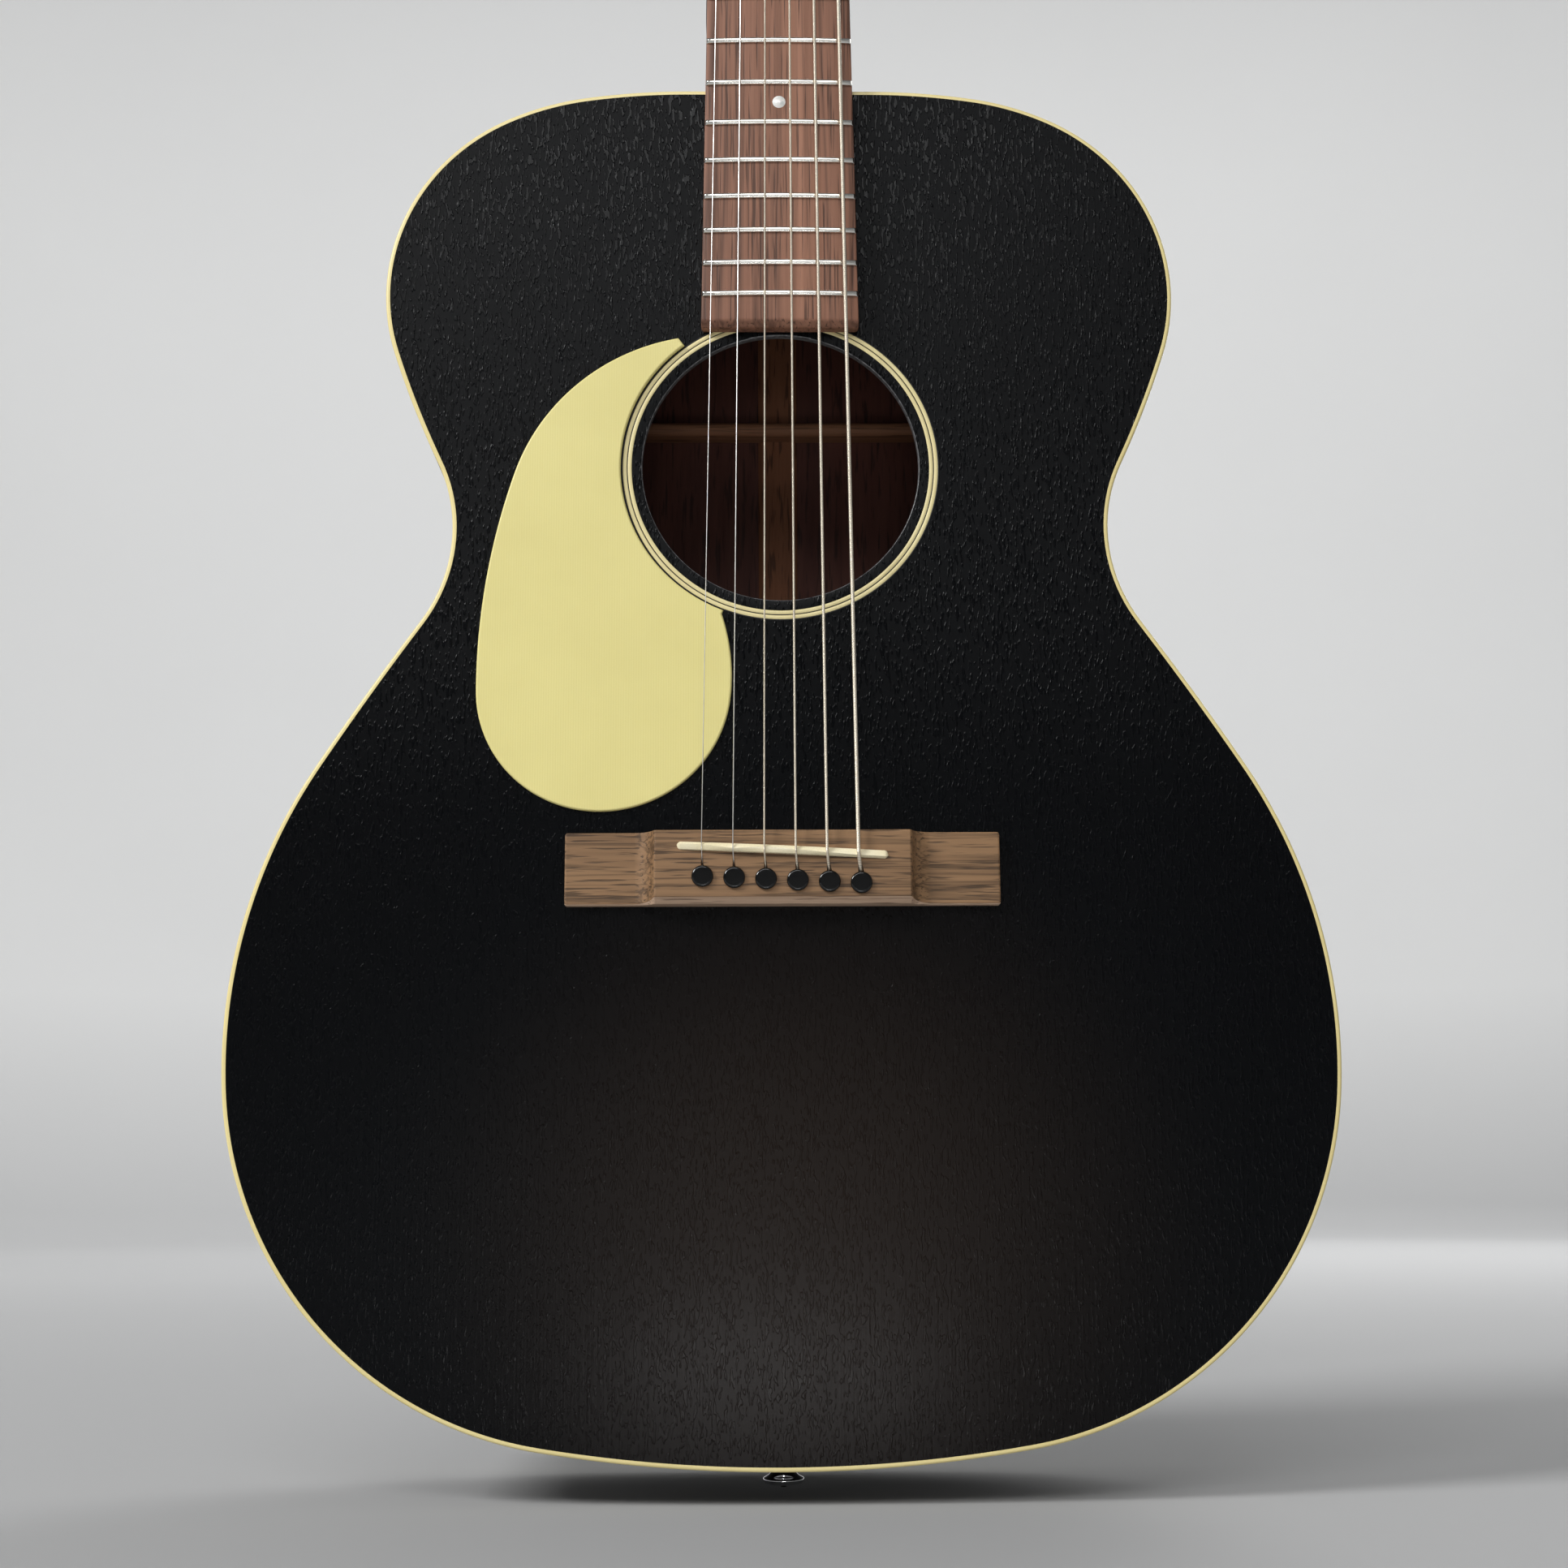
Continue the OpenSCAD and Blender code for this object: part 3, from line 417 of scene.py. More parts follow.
MAT = {
    "top": dark_top(),
    "body": dark_mahogany_body(),
    "inside": wood("raw_mahogany", (0.110, 0.034, 0.022), (0.060, 0.018, 0.013), streak=60, rough=0.66,
                   contrast=0.4, pore=(700, 26)),
    "inside_light": wood("raw_cedar", (0.36, 0.19, 0.105), (0.26, 0.125, 0.066), streak=150, rough=0.68),
    "strip": wood("cedar_strip", (0.215, 0.084, 0.038), (0.150, 0.054, 0.024), streak=110, run=3, rough=0.7,
                  contrast=0.4, pore=(800, 40)),
    "brace": wood("raw_spruce", (0.66, 0.48, 0.28), (0.52, 0.345, 0.175), streak=380, rough=0.7,
                  contrast=0.6),
    "cross_brace": wood("raw_spruce_across", (0.335, 0.158, 0.084), (0.235, 0.102, 0.052), along="x",
                        streak=300, rough=0.66),
    "board": wood("rosewood_board", (0.375, 0.180, 0.112), (0.165, 0.072, 0.045), streak=150, run=3.0,
                  pore=(1100, 30), pore_dark=0.3, rough=0.52, contrast=0.85, vein=(120, 2.2), vein_dark=0.8),
    "bridge": wood("rosewood_bridge", (0.340, 0.196, 0.096), (0.150, 0.082, 0.040), along="x", streak=130,
                   run=9, pore=(1300, 60), pore_dark=0.25, rough=0.5, contrast=0.85, vein=(230, 6),
                   vein_dark=1.0),
    # Paler wood for the bridge's lower chamfer and the edge under it: painted light from below.
    "painted_lit_edge": wood("rosewood_painted_lit_edge", (0.66, 0.47, 0.34), (0.40, 0.26, 0.17), along="x",
                        streak=130, run=9, pore=(1400, 60), pore_dark=0.4, rough=0.34, contrast=0.6),
    "neck": wood("dark_neck_mahogany", (0.050, 0.021, 0.014), (0.022, 0.0095, 0.007), streak=70,
                 rough=0.5, contrast=0.5, pore=(900, 40)),
    "faceplate": wood("dark_rosewood_plate", (0.090, 0.037, 0.025), (0.035, 0.014, 0.010), streak=130,
                      run=3, rough=0.42, contrast=0.8, pore=(1000, 40)),
    "binding": plastic("cream_binding", (0.83, 0.71, 0.335), (0.74, 0.61, 0.265), 0.38, 0.008),
    "ring_cream": plastic("cream_purfling", (0.80, 0.70, 0.37), (0.72, 0.61, 0.30), 0.40, 0.006, 60),
    "ring_black": plastic("black_purfling", (0.002, 0.0017, 0.0014), (0.004, 0.0035, 0.003), 0.5, 0.006, 60),
    # Grey for the sound hole's rounded edge: partly worn raw wood, partly a painted highlight for the light
    # the edge catches.
    "hole_edge": plastic("hole_edge_wear_and_sheen", (0.15, 0.15, 0.155), (0.002, 0.002, 0.003), 0.34, 0.06, 700,
                         fine=1500),
    "guard": pickguard_sheet(),
    "bone": plastic("polished_bone", (0.92, 0.84, 0.60), (0.84, 0.73, 0.46), 0.28, 0.006, 90, 0.25, 1800),
    "black": plastic("gloss_black_pins", (0.0008, 0.0008, 0.0009), (0.0014, 0.0014, 0.0014), 0.07,
                     0.0005, 40),
    "cap": plastic("black_heel_cap", (0.012, 0.011, 0.011), (0.02, 0.018, 0.017), 0.34, 0.006, 60),
    "nickel": metal("polished_nickel", (0.70, 0.685, 0.655), 0.14),
    "chrome": metal("polished_chrome", (0.80, 0.80, 0.81), 0.09),
    "fret": metal("fret_nickel_silver", (0.88, 0.86, 0.80), 0.13, (60, 1500, 1500), 0.005),
    "steel": metal("drawn_steel", (0.72, 0.72, 0.71), 0.24, (200, 200, 4000)),
    "brass": metal("machined_brass", (0.72, 0.53, 0.25), 0.28, (2500, 2500, 300)),
    "rod": metal("grey_steel_rod", (0.42, 0.42, 0.43), 0.42, (1500, 1500, 60)),
    "pearl": pearl(),
}
STRING_MAT = {k: wound_string(f"phosphor_wrap_{k}", p, (0.97, 0.88, 0.72))
              for k, p in ((3, 0.30), (4, 0.36), (5, 0.44), (6, 0.52))}
for k in (1, 2):
    STRING_MAT[k] = metal(f"plain_string_{k}", (0.92, 0.90, 0.86), 0.30, (3000, 3000, 60), 0.01)


# ---------------------------------------------------------------- building pieces
def new_mesh(name, verts, faces, weld=False):
    """A mesh from points in metres, with its faces turned outwards."""
    mesh = bpy.data.meshes.new(name)
    mesh.from_pydata(verts, [], faces)
    bm = bmesh.new()
    bm.from_mesh(mesh)
    if weld:
        bmesh.ops.remove_doubles(bm, verts=bm.verts, dist=1e-7)
    bmesh.ops.recalc_face_normals(bm, faces=bm.faces)
    bm.to_mesh(mesh)
    bm.free()
    return mesh


def smooth(mesh, sharp=180):
    """Smooth shading, but for edges sharper than an angle in degrees."""
    for p in mesh.polygons:
        p.use_smooth = True
    if sharp < 180:
        mesh.set_sharp_from_angle(angle=math.radians(sharp))


def add_object(name, data):
    obj = bpy.data.objects.new(name, data)
    bpy.context.scene.collection.objects.link(obj)
    return obj


def piece(name, verts, faces, mat, replaces, body=GUITAR, slot=None, sharp=30, head=False):
    """One piece, from points in millimetres, that rides on a body and takes the place of CAD nodes."""
    mesh = new_mesh(name, [place(from_head(v) if head else v) for v in verts], faces, weld=True)
    smooth(mesh, sharp)
    mesh.materials.append(MAT[mat] if isinstance(mat, str) else mat)
    obj = add_object(name, mesh)
    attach(obj, body)
    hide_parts(*replaces)
    return obj


def paint(obj, mat, chosen):
    """Gives the faces that a test picks out a second material."""
    obj.data.materials.append(MAT[mat])
    for p in obj.data.polygons:
        if chosen(p):
            p.material_index = 1


def level(obj):
    """Keeps large flat faces flat in the shading, whatever small rounds border them."""
    mod = obj.modifiers.new("level", "WEIGHTED_NORMAL")
    mod.keep_sharp, mod.weight = True, 100
    return obj


def grid_faces(rows, n, closed=True, around=True):
    """Quads between rows of n points. closed joins each row's ends, around the last row to the first."""
    faces = []
    for j in range(rows if around else rows - 1):
        for i in range(n if closed else n - 1):
            a, b = j * n + i, j * n + (i + 1) % n
            c, d = ((j + 1) % rows) * n + (i + 1) % n, ((j + 1) % rows) * n + i
            faces.append((a, b, c, d))
    return faces


def loft(rings):
    """A skin over rings of equal length, closed at both ends."""
    n = len(rings[0])
    faces = grid_faces(len(rings), n, True, False)
    faces += [tuple(range(n))[::-1], tuple(range((len(rings) - 1) * n, len(rings) * n))]
    return [p for r in rings for p in r], faces


def sweep_outline(profile, half=None):
    """A closed profile of (inset, depth) points carried round the body, or along one half of it. depth may
    be a function of x and z."""
    rows = []
    for inset, depth in profile:
        pts = outline(inset + SKIN)
        if half:
            mid = len(pts) // 2
            pts = pts[:mid + 1] if half > 0 else pts[mid:] + pts[:1]
        rows.append([(x, depth(x, z) if callable(depth) else depth, z) for x, z in pts])
    n = len(rows[0])
    faces = grid_faces(len(rows), n, not half, True)
    if half:
        start = [j * n for j in range(len(rows))]
        faces += [tuple(start), tuple(j + n - 1 for j in reversed(start))]
    return [p for r in rows for p in r], faces


def lathe(profile, centre, axis, n):
    """Turns (radius, height) points about an axis through centre; height runs along the axis."""
    centre, axis = Vector(centre), Vector(axis).normalized()
    u = axis.orthogonal().normalized()
    w = axis.cross(u)
    return loft([[centre + axis * h + u * (max(r, 1e-3) * cos(a)) + w * (max(r, 1e-3) * sin(a))
                  for a in turns(n)] for r, h in profile])


def join(*parts):
    """Several (verts, faces) as one."""
    verts, faces = [], []
    for v, f in parts:
        faces += [tuple(i + len(verts) for i in q) for q in f]
        verts += list(v)
    return verts, faces


def tube(path, radius, sides):
    """A round tube along a path, carrying its frame from point to point."""
    path = [Vector(p) for p in path]
    u = Vector((1, 0, 0))
    rings = []
    for i, p in enumerate(path):
        after = (path[i + 1] - p).normalized() if i < len(path) - 1 else Vector()
        before = (p - path[i - 1]).normalized() if i else Vector()
        t = (after + before).normalized()
        u = (u - t * u.dot(t)).normalized()
        w = t.cross(u)
        rings.append([p + radius * (cos(a) * u + sin(a) * w) for a in turns(sides)])
    return loft(rings)


def rounded(path, reach, n):
    """Replaces each inner corner of a path by a short smooth bend."""
    path = [Vector(p) for p in path]
    out = [path[0]]
    for a, b, c in zip(path, path[1:], path[2:]):
        d = min(reach, (b - a).length * 0.45, (c - b).length * 0.45)
        s, e = b + (a - b).normalized() * d, b + (c - b).normalized() * d
        out += [(1 - t) ** 2 * s + 2 * t * (1 - t) * b + t * t * e for t in (i / n for i in range(n + 1))]
    return out + [path[-1]]


def bevelled_prism(plan, y0, y1, bevel, steps, front=True, back=False):
    """A plan of (x, z) points from depth y0 to y1, with its front (and back) edge rounded over."""
    plan = [Vector(p) for p in plan]
    n = len(plan)
    area = sum(p[0] * q[1] - q[0] * p[1] for p, q in zip(plan, plan[1:] + plan[:1]))
    side = 1 if area > 0 else -1

    def inset(d):
        out = []
        for i, p in enumerate(plan):
            a, b = (p - plan[i - 1]).normalized(), (plan[(i + 1) % n] - p).normalized()
            na, nb = Vector((-a[1], a[0])) * side, Vector((-b[1], b[0])) * side
            m = na + nb
            out.append(p + m * (d / max(0.35, m.dot(na))))
        return out

    def eased(k):
        """Inset and set-back of the k-th step of a quarter round."""
        return bevel * (1 - sin(90 * k / steps)), bevel * (1 - cos(90 * k / steps))

    levels = [(0, y0)]
    if front:
        levels = [(d, y0 + e) for d, e in map(eased, range(steps + 1))]
    if back:
        levels += [(e, y1 - d) for d, e in map(eased, range(steps + 1))]
    else:
        levels.append((0, y1))
    return loft([[(p[0], y, p[1]) for p in inset(d)] for d, y in levels])


# ---------------------------------------------------------------- body shell
def round_corner(r):
    """Front outer corner of a binding: from the side face round to the front face."""
    return [(r - r * cos(a), r - r * sin(a)) for a in range(0, 91, 18)]


def by_hole(r, a, y):
    """A point round the sound hole's middle."""
    return (r * cos(a), y, HOLE_Z + r * sin(a))


def make_top():
    """The top plate, with the sound hole's eased edge and the rosette's channel."""
    pts = outline(BIND_W + 0.03)
    centre = Vector((0, HOLE_Z))
    angle = [math.degrees(math.atan2(z - HOLE_Z, x)) for x, z in pts]
    edge, channel, play = 0.55, 0.9, 0.02
    inner = [(HOLE_R, TOP_T - 0.3), (HOLE_R, edge)]
    inner += [(HOLE_R + edge - edge * cos(a), edge - edge * sin(a)) for a in (22, 45, 68, 90)]
    inner += [(ROSETTE_IN - play, 0), (ROSETTE_IN - play, channel)]
    inner += [(ROSETTE_OUT + play, channel), (ROSETTE_OUT + play, 0)]
    rows = [[by_hole(r, a, y) for a in angle] for r, y in inner]
    for f in (0.15, 0.35, 0.6, 0.85, 1.0):
        row = []
        for p, a in zip(pts, angle):
            q = (centre + Vector((cos(a), sin(a))) * (ROSETTE_OUT + play)).lerp(p, f)
            row.append((q[0], 0, q[1]))
        rows.append(row)
    rows.append([(x, TOP_T, z) for x, z in pts])
    rows.append([by_hole(HOLE_R + 0.3, a, TOP_T) for a in angle])
    obj = piece("top_plate", [p for r in rows for p in r], grid_faces(len(rows), len(pts)), "top", ["top"],
                slot="dark_mahogany", sharp=35)

    # The eased edge round the sound hole takes the grey colour: partly wear, partly a painted highlight.
    def edge_wear_and_sheen(p):
        x, y, z = (c / MM for c in p.center)
        return math.hypot(x, z - HOLE_Z) < HOLE_R + edge * 0.8 and y + PIN_Y < TOP_T - 0.1

    paint(obj, "hole_edge", edge_wear_and_sheen)


def make_back():
    """The arched back plate, as rings of points from a middle out to the edge and back inside."""
    pts = outline(BIND_W + 0.03)
    hub = Vector((0, 300))
    rings = 20

    def row(f, inset):
        spots = [hub.lerp(p, f) for p in pts]
        return [(x, dome(x, z, inset), z) for x, z in spots]

    rows = [row(k / rings, SKIN / 10) for k in range(1, rings + 1)]
    rows += [row(k / rings, BACK_T) for k in range(rings, 0, -1)]
    n = len(pts)
    verts = [p for r in rows for p in r]
    faces = grid_faces(len(rows), n, True, False)
    last, outer = (len(rows) - 1) * n, len(verts)
    verts += [(0, dome(0, 300, SKIN / 10), 300), (0, dome(0, 300, BACK_T), 300)]
    faces += [(outer, (i + 1) % n, i) for i in range(n)]
    faces += [(outer + 1, last + i, last + (i + 1) % n) for i in range(n)]
    obj = piece("back_plate", verts, faces, "body", ["back"], slot="mahogany", sharp=50)
    paint(obj, "inside", lambda p: p.normal[1] < -0.5)


def make_sides():
    def back_edge(x, z):
        return dome(x, z, BIND_H)

    def back_inner(x, z):
        return dome(x, z, BACK_T)

    profile = [(0, BIND_H), (0, back_edge), (BIND_W, back_edge), (BIND_W, back_inner), (SIDE_T, back_inner),
               (SIDE_T, TOP_T), (BIND_W, TOP_T), (BIND_W, BIND_H)]
    for name, half in (("side_bass", 1), ("side_treble", -1)):
        verts, faces = sweep_outline(profile, half)
        obj = piece(name + "_rib", verts, faces, "body", [name], slot="mahogany", sharp=35)
        n = len(verts) // len(profile)
        paint(obj, "inside", lambda p, n=n: all(n * 3 <= v < n * 7 for v in p.vertices))


def make_bindings():
    corner = round_corner(0.9)
    soft = 0.08
    profile = [(0, BIND_H), (0, 3.2)] + corner + [(BIND_W - soft, 0), (BIND_W, soft), (BIND_W, BIND_H)]
    verts, faces = sweep_outline(profile)
    piece("front_binding", verts, faces, "binding", ["top_binding"], slot="binding", sharp=40)
    back = [(inset, lambda x, z, y=y: dome(x, z, y)) for inset, y in profile]
    verts, faces = sweep_outline(back)
    piece("rear_binding", verts, faces, "binding", ["back_binding"], slot="binding", sharp=40)


def make_linings():
    """Kerfed lining: a row of small wedges glued in the corner of the rib and each plate."""
    step, gap = 1.2, 0.14
    outer, slim, inner = (outline(SIDE_T + reach, step) for reach in (0, 2.0, LINING_W))
    section = ((outer, 0), (inner, 0), (inner, 6), (slim, LINING_H), (outer, LINING_H))
    for name, node, base, way in (("front_kerfing", "top_lining", lambda x, z: TOP_T, 1),
                                  ("rear_kerfing", "back_lining", lambda x, z: dome(x, z, BACK_T), -1)):
        wedges = []
        for i in range(0, len(outer) - 4, 5):
            x, z = outer[i + 2]
            at_neck = z > BLOCK_Z - 6 and abs(x) < BLOCK_W / 2 + 4
            at_tail = z < 60 and abs(x) < END_BLOCK_W / 2 + 4
            if at_neck or at_tail:
                continue
            a, b = ([Vector((line[j][0], base(*outer[j]) + way * h, line[j][1])) for line, h in section]
                    for j in (i, i + 4))
            wedges.append(loft([[tuple(p.lerp(q, gap)) for p, q in zip(a, b)],
                                [tuple(q.lerp(p, gap)) for p, q in zip(a, b)]]))
        piece(name, *join(*wedges), "inside_light", [node], slot="lining_wood", sharp=20)


def make_rosette():
    for name, r0, r1, mat in (("rosette_ring_inner", ROSETTE_IN, 54.72, "ring_cream"),
                              ("rosette_line_middle", 54.72, 55.06, "ring_black"),
                              ("rosette_ring_outer", 55.06, 56.45, "ring_cream"),
                              ("rosette_line_outer", 56.45, ROSETTE_OUT, "ring_black")):
        soft = 0.07
        profile = [(r0, 0.9), (r0, soft), (r0 + soft, 0), (r1 - soft, 0), (r1, soft), (r1, 0.9)]
        verts = [by_hole(r, a, y) for r, y in profile for a in turns(240)]
        piece(name, verts, grid_faces(len(profile), 240), mat, ["rosette"], slot="binding", sharp=60)


def guard_plan():
    """The pickguard's edge: its outer arcs, then back along the rosette."""
    outer = chain(GUARD_ARCS, GUARD_START, GUARD_HEADING, step=2.0)
    a0, a1 = (math.degrees(math.atan2(z - HOLE_Z, x)) for x, z in (outer[-1], outer[0]))
    back = [a0 + (a1 + 360 - a0) * k / 70 for k in range(71)]
    return outer + [Vector((GUARD_R * cos(a), HOLE_Z + GUARD_R * sin(a))) for a in back]


def make_pickguard():
    verts, faces = bevelled_prism(guard_plan(), -GUARD_T, -0.02, 0.75, 4)
    level(piece("pickguard_sheet", verts, faces, "guard", ["pickguard"], slot="pickguard", sharp=50))


# ---------------------------------------------------------------- cutting
def carve(obj, *tools, sharp=30):
    """Cuts closed shapes, each a (verts, faces) pair in millimetres, out of a piece."""
    verts, faces = join(*tools)
    cutter = add_object("cutter", new_mesh("cutter", [place(v) for v in verts], faces))
    mod = obj.modifiers.new("cut", "BOOLEAN")
    mod.operation, mod.solver, mod.object = "DIFFERENCE", "EXACT", cutter
    graph = bpy.context.evaluated_depsgraph_get()
    made = bpy.data.meshes.new_from_object(obj.evaluated_get(graph))
    obj.modifiers.clear()
    old, obj.data = obj.data, made
    bpy.data.meshes.remove(old)
    bpy.data.objects.remove(cutter)
    smooth(made, sharp)
    return obj


def rod(x, z, y0, y1, r):
    """A round cutter from depth y0 to y1."""
    return lathe([(0, y0), (r, y0), (r, y1), (0, y1)], (x, 0, z), (0, 1, 0), 32)


def head_rods(y0, y1, r):
    """Round cutters through the headstock, one at each post."""
    for x, z in map(post_of, STRINGS):
        verts, faces = rod(x, z, y0, y1, r)
        yield [from_head(v) for v in verts], faces


# ---------------------------------------------------------------- bridge and saddle
def bridge_profile():
    """Half of the bridge's long outline, from its middle: (place, height) over the block, down the scoop
    and out along the thin wing."""
    ease, wall = 0.8, 75
    brow = SCOOP_X - SCOOP_R - 0.7
    out = [(x, BRIDGE_H) for x in (0, 15, 30, 40, brow)]
    for a in (20, 40, 60, wall):
        out.append((brow + ease * sin(a), BRIDGE_H - ease * (1 - cos(a))))
    for a in range(90 - wall, 91, 6):
        out.append((SCOOP_X - SCOOP_R * cos(a), WING_H + SCOOP_R * (1 - sin(a))))
    return out + [(x, WING_H) for x in (56, 62, 68)]


def string_ramp(k):
    """The cutter for the slot that guides a string from its pin hole up towards the saddle."""
    px, z, g = pin_at(k)[0], slot_z(k), GAUGES[k - 1]
    run = saddle_z(saddle_x(k)) - z
    w = g / 2 + 0.35
    floor, top = RAMP_H - 0.6 * g - 0.15, BRIDGE_H + 1
    length = (top - floor) / ((crest_y(k) - RAMP_H) / run)
    tip = px + (saddle_x(k) - px) / run * length
    near = [(-w, -floor), (0, -floor + 0.35), (w, -floor), (w, -top), (-w, -top)]
    v = w * 0.4
    far = [(-v, -top), (0, -top + 0.02), (v, -top), (v, -top - 0.5), (-v, -top - 0.5)]
    return loft([[(px + x, y, z - 2.2) for x, y in near], [(px + x, y, z) for x, y in near],
                 [(tip + x, y, z + length) for x, y in far]])


def make_bridge():
    """A block with scooped wings, a wide chamfer along its lower edge, pin holes and string slots."""
    half = BRIDGE_L / 2
    soft = 0.9
    profile = bridge_profile()
    profile += [(half - soft + soft * sin(a), WING_H) for a in range(0, 91, 15)]
    profile = [(-x, h) for x, h in reversed(profile[1:])] + profile
    z0, z1 = BRIDGE_Z, BRIDGE_Z + BRIDGE_W
    rings = []
    for x, h in profile:
        pull = soft - math.sqrt(max(0, soft ** 2 - max(0, abs(x) - half + soft) ** 2))
        e = 0.45
        bevel = BRIDGE_CHAMFER * (h - 1.5) / (BRIDGE_H - 1.5)
        top = h - pull * 0.5
        a0, a1 = z0 + pull, z1 - pull
        ring = [(0, a1)] + [(-top + e - e * sin(t), a1 - e + e * cos(t)) for t in (0, 30, 60, 90)]
        ring += [(-top, a0 + bevel + 0.35), (-top + 0.1, a0 + bevel), (-top + bevel, a0 + 0.1),
                 (-top + bevel + 0.35, a0), (0, a0)]
        rings.append([(x, y, z) for y, z in ring])
    verts, faces = loft(rings)
    obj = piece("bridge_block", verts, faces, "bridge", ["bridge"], slot="rosewood", sharp=32)
    # The lower chamfer and the edge under it are painted paler and brighter than the face, as painted light
    # from below.
    paint(obj, "painted_lit_edge", lambda p: p.normal[2] < -0.3 and p.normal[1] < 0.1)
    carve(obj, *[rod(x, z, -BRIDGE_H - 1, -0.2, PIN_HOLE_R) for x, z in map(pin_at, STRINGS)])
    level(carve(obj, *map(string_ramp, STRINGS)))


def saddle_x(k):
    """Place across where a string crosses the saddle."""
    return STRING_CENTRE + spread(k, SADDLE_SPREAD)


def crest_y(k):
    """Height of a string's middle where it crosses the saddle."""
    return SADDLE_H - crest_drop(saddle_x(k)) + GAUGES[k - 1] / 2 + 0.06


def crest_shift(x):
    """How far the saddle's crest stands towards the pins, eased from string to string."""
    at = (x - saddle_x(1)) / (saddle_x(6) - saddle_x(1)) * 5
    k = min(4, max(0, int(at)))
    f = min(1, max(0, at - k))
    f = f * f * (3 - 2 * f)
    return COMPENSATION[k] * (1 - f) + COMPENSATION[k + 1] * f


def make_saddle():
    """A slanted bone bar with round ends, its crest moved to and fro under the strings."""
    a, b = map(Vector, SADDLE_ENDS)
    along = (b - a).normalized()
    length = (b - a).length
    side = Vector((-along[1], along[0]))
    half, crown, n = SADDLE_T / 2, 0.7, 90
    rings = []
    for i in range(n + 1):
        u = length * 0.5 * (1 - cos(180 * i / n))
        reach = min(u, length - u)
        w = half if reach >= half else math.sqrt(max(0.02, half ** 2 - (half - reach) ** 2))
        thin = 1 - w / half
        p = a + along * u
        top = SADDLE_H - crest_drop(p[0]) - 0.02 - 1.1 * thin
        low = top - 1.1 + 0.5 * thin
        peak = max(0.15 - w, min(w - 0.15, -crest_shift(p[0])))
        left, right = ([(e * 0.86 * w + (peak - e * 0.86 * w) * q, top - crown * (1 - q) ** 1.3)
                        for q in (0, 0.25, 0.5, 0.75)] for e in (-1, 1))
        ring = [(-w, 5.0), (-w, low)] + left + [(peak, top)] + right[::-1] + [(w, low), (w, 5.0)]
        rings.append([(p[0] + side[0] * s, -h, p[1] + side[1] * s) for s, h in ring])
    piece("bone_saddle", *loft(rings), "bone", ["saddle"], slot="bone", sharp=24)


def make_pins():
    """Turned pins: a tapered shank and a broad head, nearly flat, with a rounded rim."""
    profile = [(0, -14.6), (1.9, -14.6), (2.3, -14.0), (2.5, 0), (3.3, 0.02), (3.6, 0.12)]
    round_r, rim_h, face_r, crown = 0.75, 1.27, 3.05, 0.08
    profile += [(PIN_HEAD_R - round_r * (1 - cos(a)), 0.5 + round_r * sin(a)) for a in range(0, 76, 15)]
    steps = (1.0, 0.96, 0.9, 0.8, 0.65, 0.5, 0.35, 0.2, 0.08, 0)
    profile += [(face_r * f, rim_h + crown * (1 - f * f)) for f in steps]
    pins = [lathe(profile, (x, -BRIDGE_H, z), (0, -1, 0), 56) for x, z in map(pin_at, STRINGS)]
    piece("turned_bridge_pins", *join(*pins), "black", ["bridge_pins"], slot="black_plastic", sharp=40)


def make_strap_button():
    """A turned button with a wide flange at the wood, a waist and a domed head."""
    profile = [(0, -14), (3.2, -14), (4, -2), (4, 0), (5.5, 0), (5.85, 0.12), (6, 0.4), (6, 0.9),
               (5.8, 1.25), (5.2, 1.7), (4.6, 2.35), (4.2, 3.1), (4.02, 4.1), (4.05, 5.1), (4.4, 6.1),
               (5.1, 7.0), (6.1, 7.65), (6.95, 8.0), (7.25, 8.3), (7.35, 8.8), (7.2, 9.4), (6.7, 9.85),
               (5.8, 10.2), (4.3, 10.5), (2.4, 10.66), (0, 10.7)]
    verts, faces = lathe(profile, (0, PIN_Y, 0), (0, 0, -1), 72)
    piece("strap_button", verts, faces, "chrome", ["end_pin"], slot="nickel", sharp=45)


# ---------------------------------------------------------------- neck
def neck_d(z):
    """Depth of the neck's shaft below the board."""
    return NECK_THIN + NECK_GAIN * min(1, (NUT_Z - z) / 260)


def heel_depth(e):
    """Depth of the heel at a distance from the body joint."""
    if e <= HEEL_L:
        return HEEL_Y
    return 0.0 if e >= HEEL_L + HEEL_RUN else HEEL_Y * (1 - ((e - HEEL_L) / HEEL_RUN) ** (1 / 3.5))


def oval(s, p):
    """Half-width of a superellipse at a fraction s of its height."""
    return max(0.0, 1 - min(1.0, s) ** p) ** (1 / p)


def neck_half(y, z):
    """Half of the neck's width at a depth: the shaft's oval blended into the heel."""
    shaft = board_w(z) / 2 * oval(y / neck_d(z), 2)
    left = max(0.0, 1 - y / HEEL_Y)
    reach = HEEL_L + HEEL_RUN * left ** 3.5
    heel = (HEEL_W + (board_w(JOINT_Z) / 2 - HEEL_W) * left ** 1.6) * oval(max(0, z - JOINT_Z) / reach, 2)
    blend = 2.2 * min(1, heel / 6) * min(1, shaft / 3)
    return 0.5 * (shaft + heel + math.sqrt((shaft - heel) ** 2 + blend ** 2))


def head_half(e):
    """Half of the headstock's width: a flare by the nut, then a slow widening to the end."""
    ease = (1 - cos(180 * min(1, max(0, e / HEAD_FLARE_L)))) / 2
    return NUT_W / 2 + HEAD_FLARE * ease + HEAD_TAPER * max(0, e - HEAD_FLARE_L)


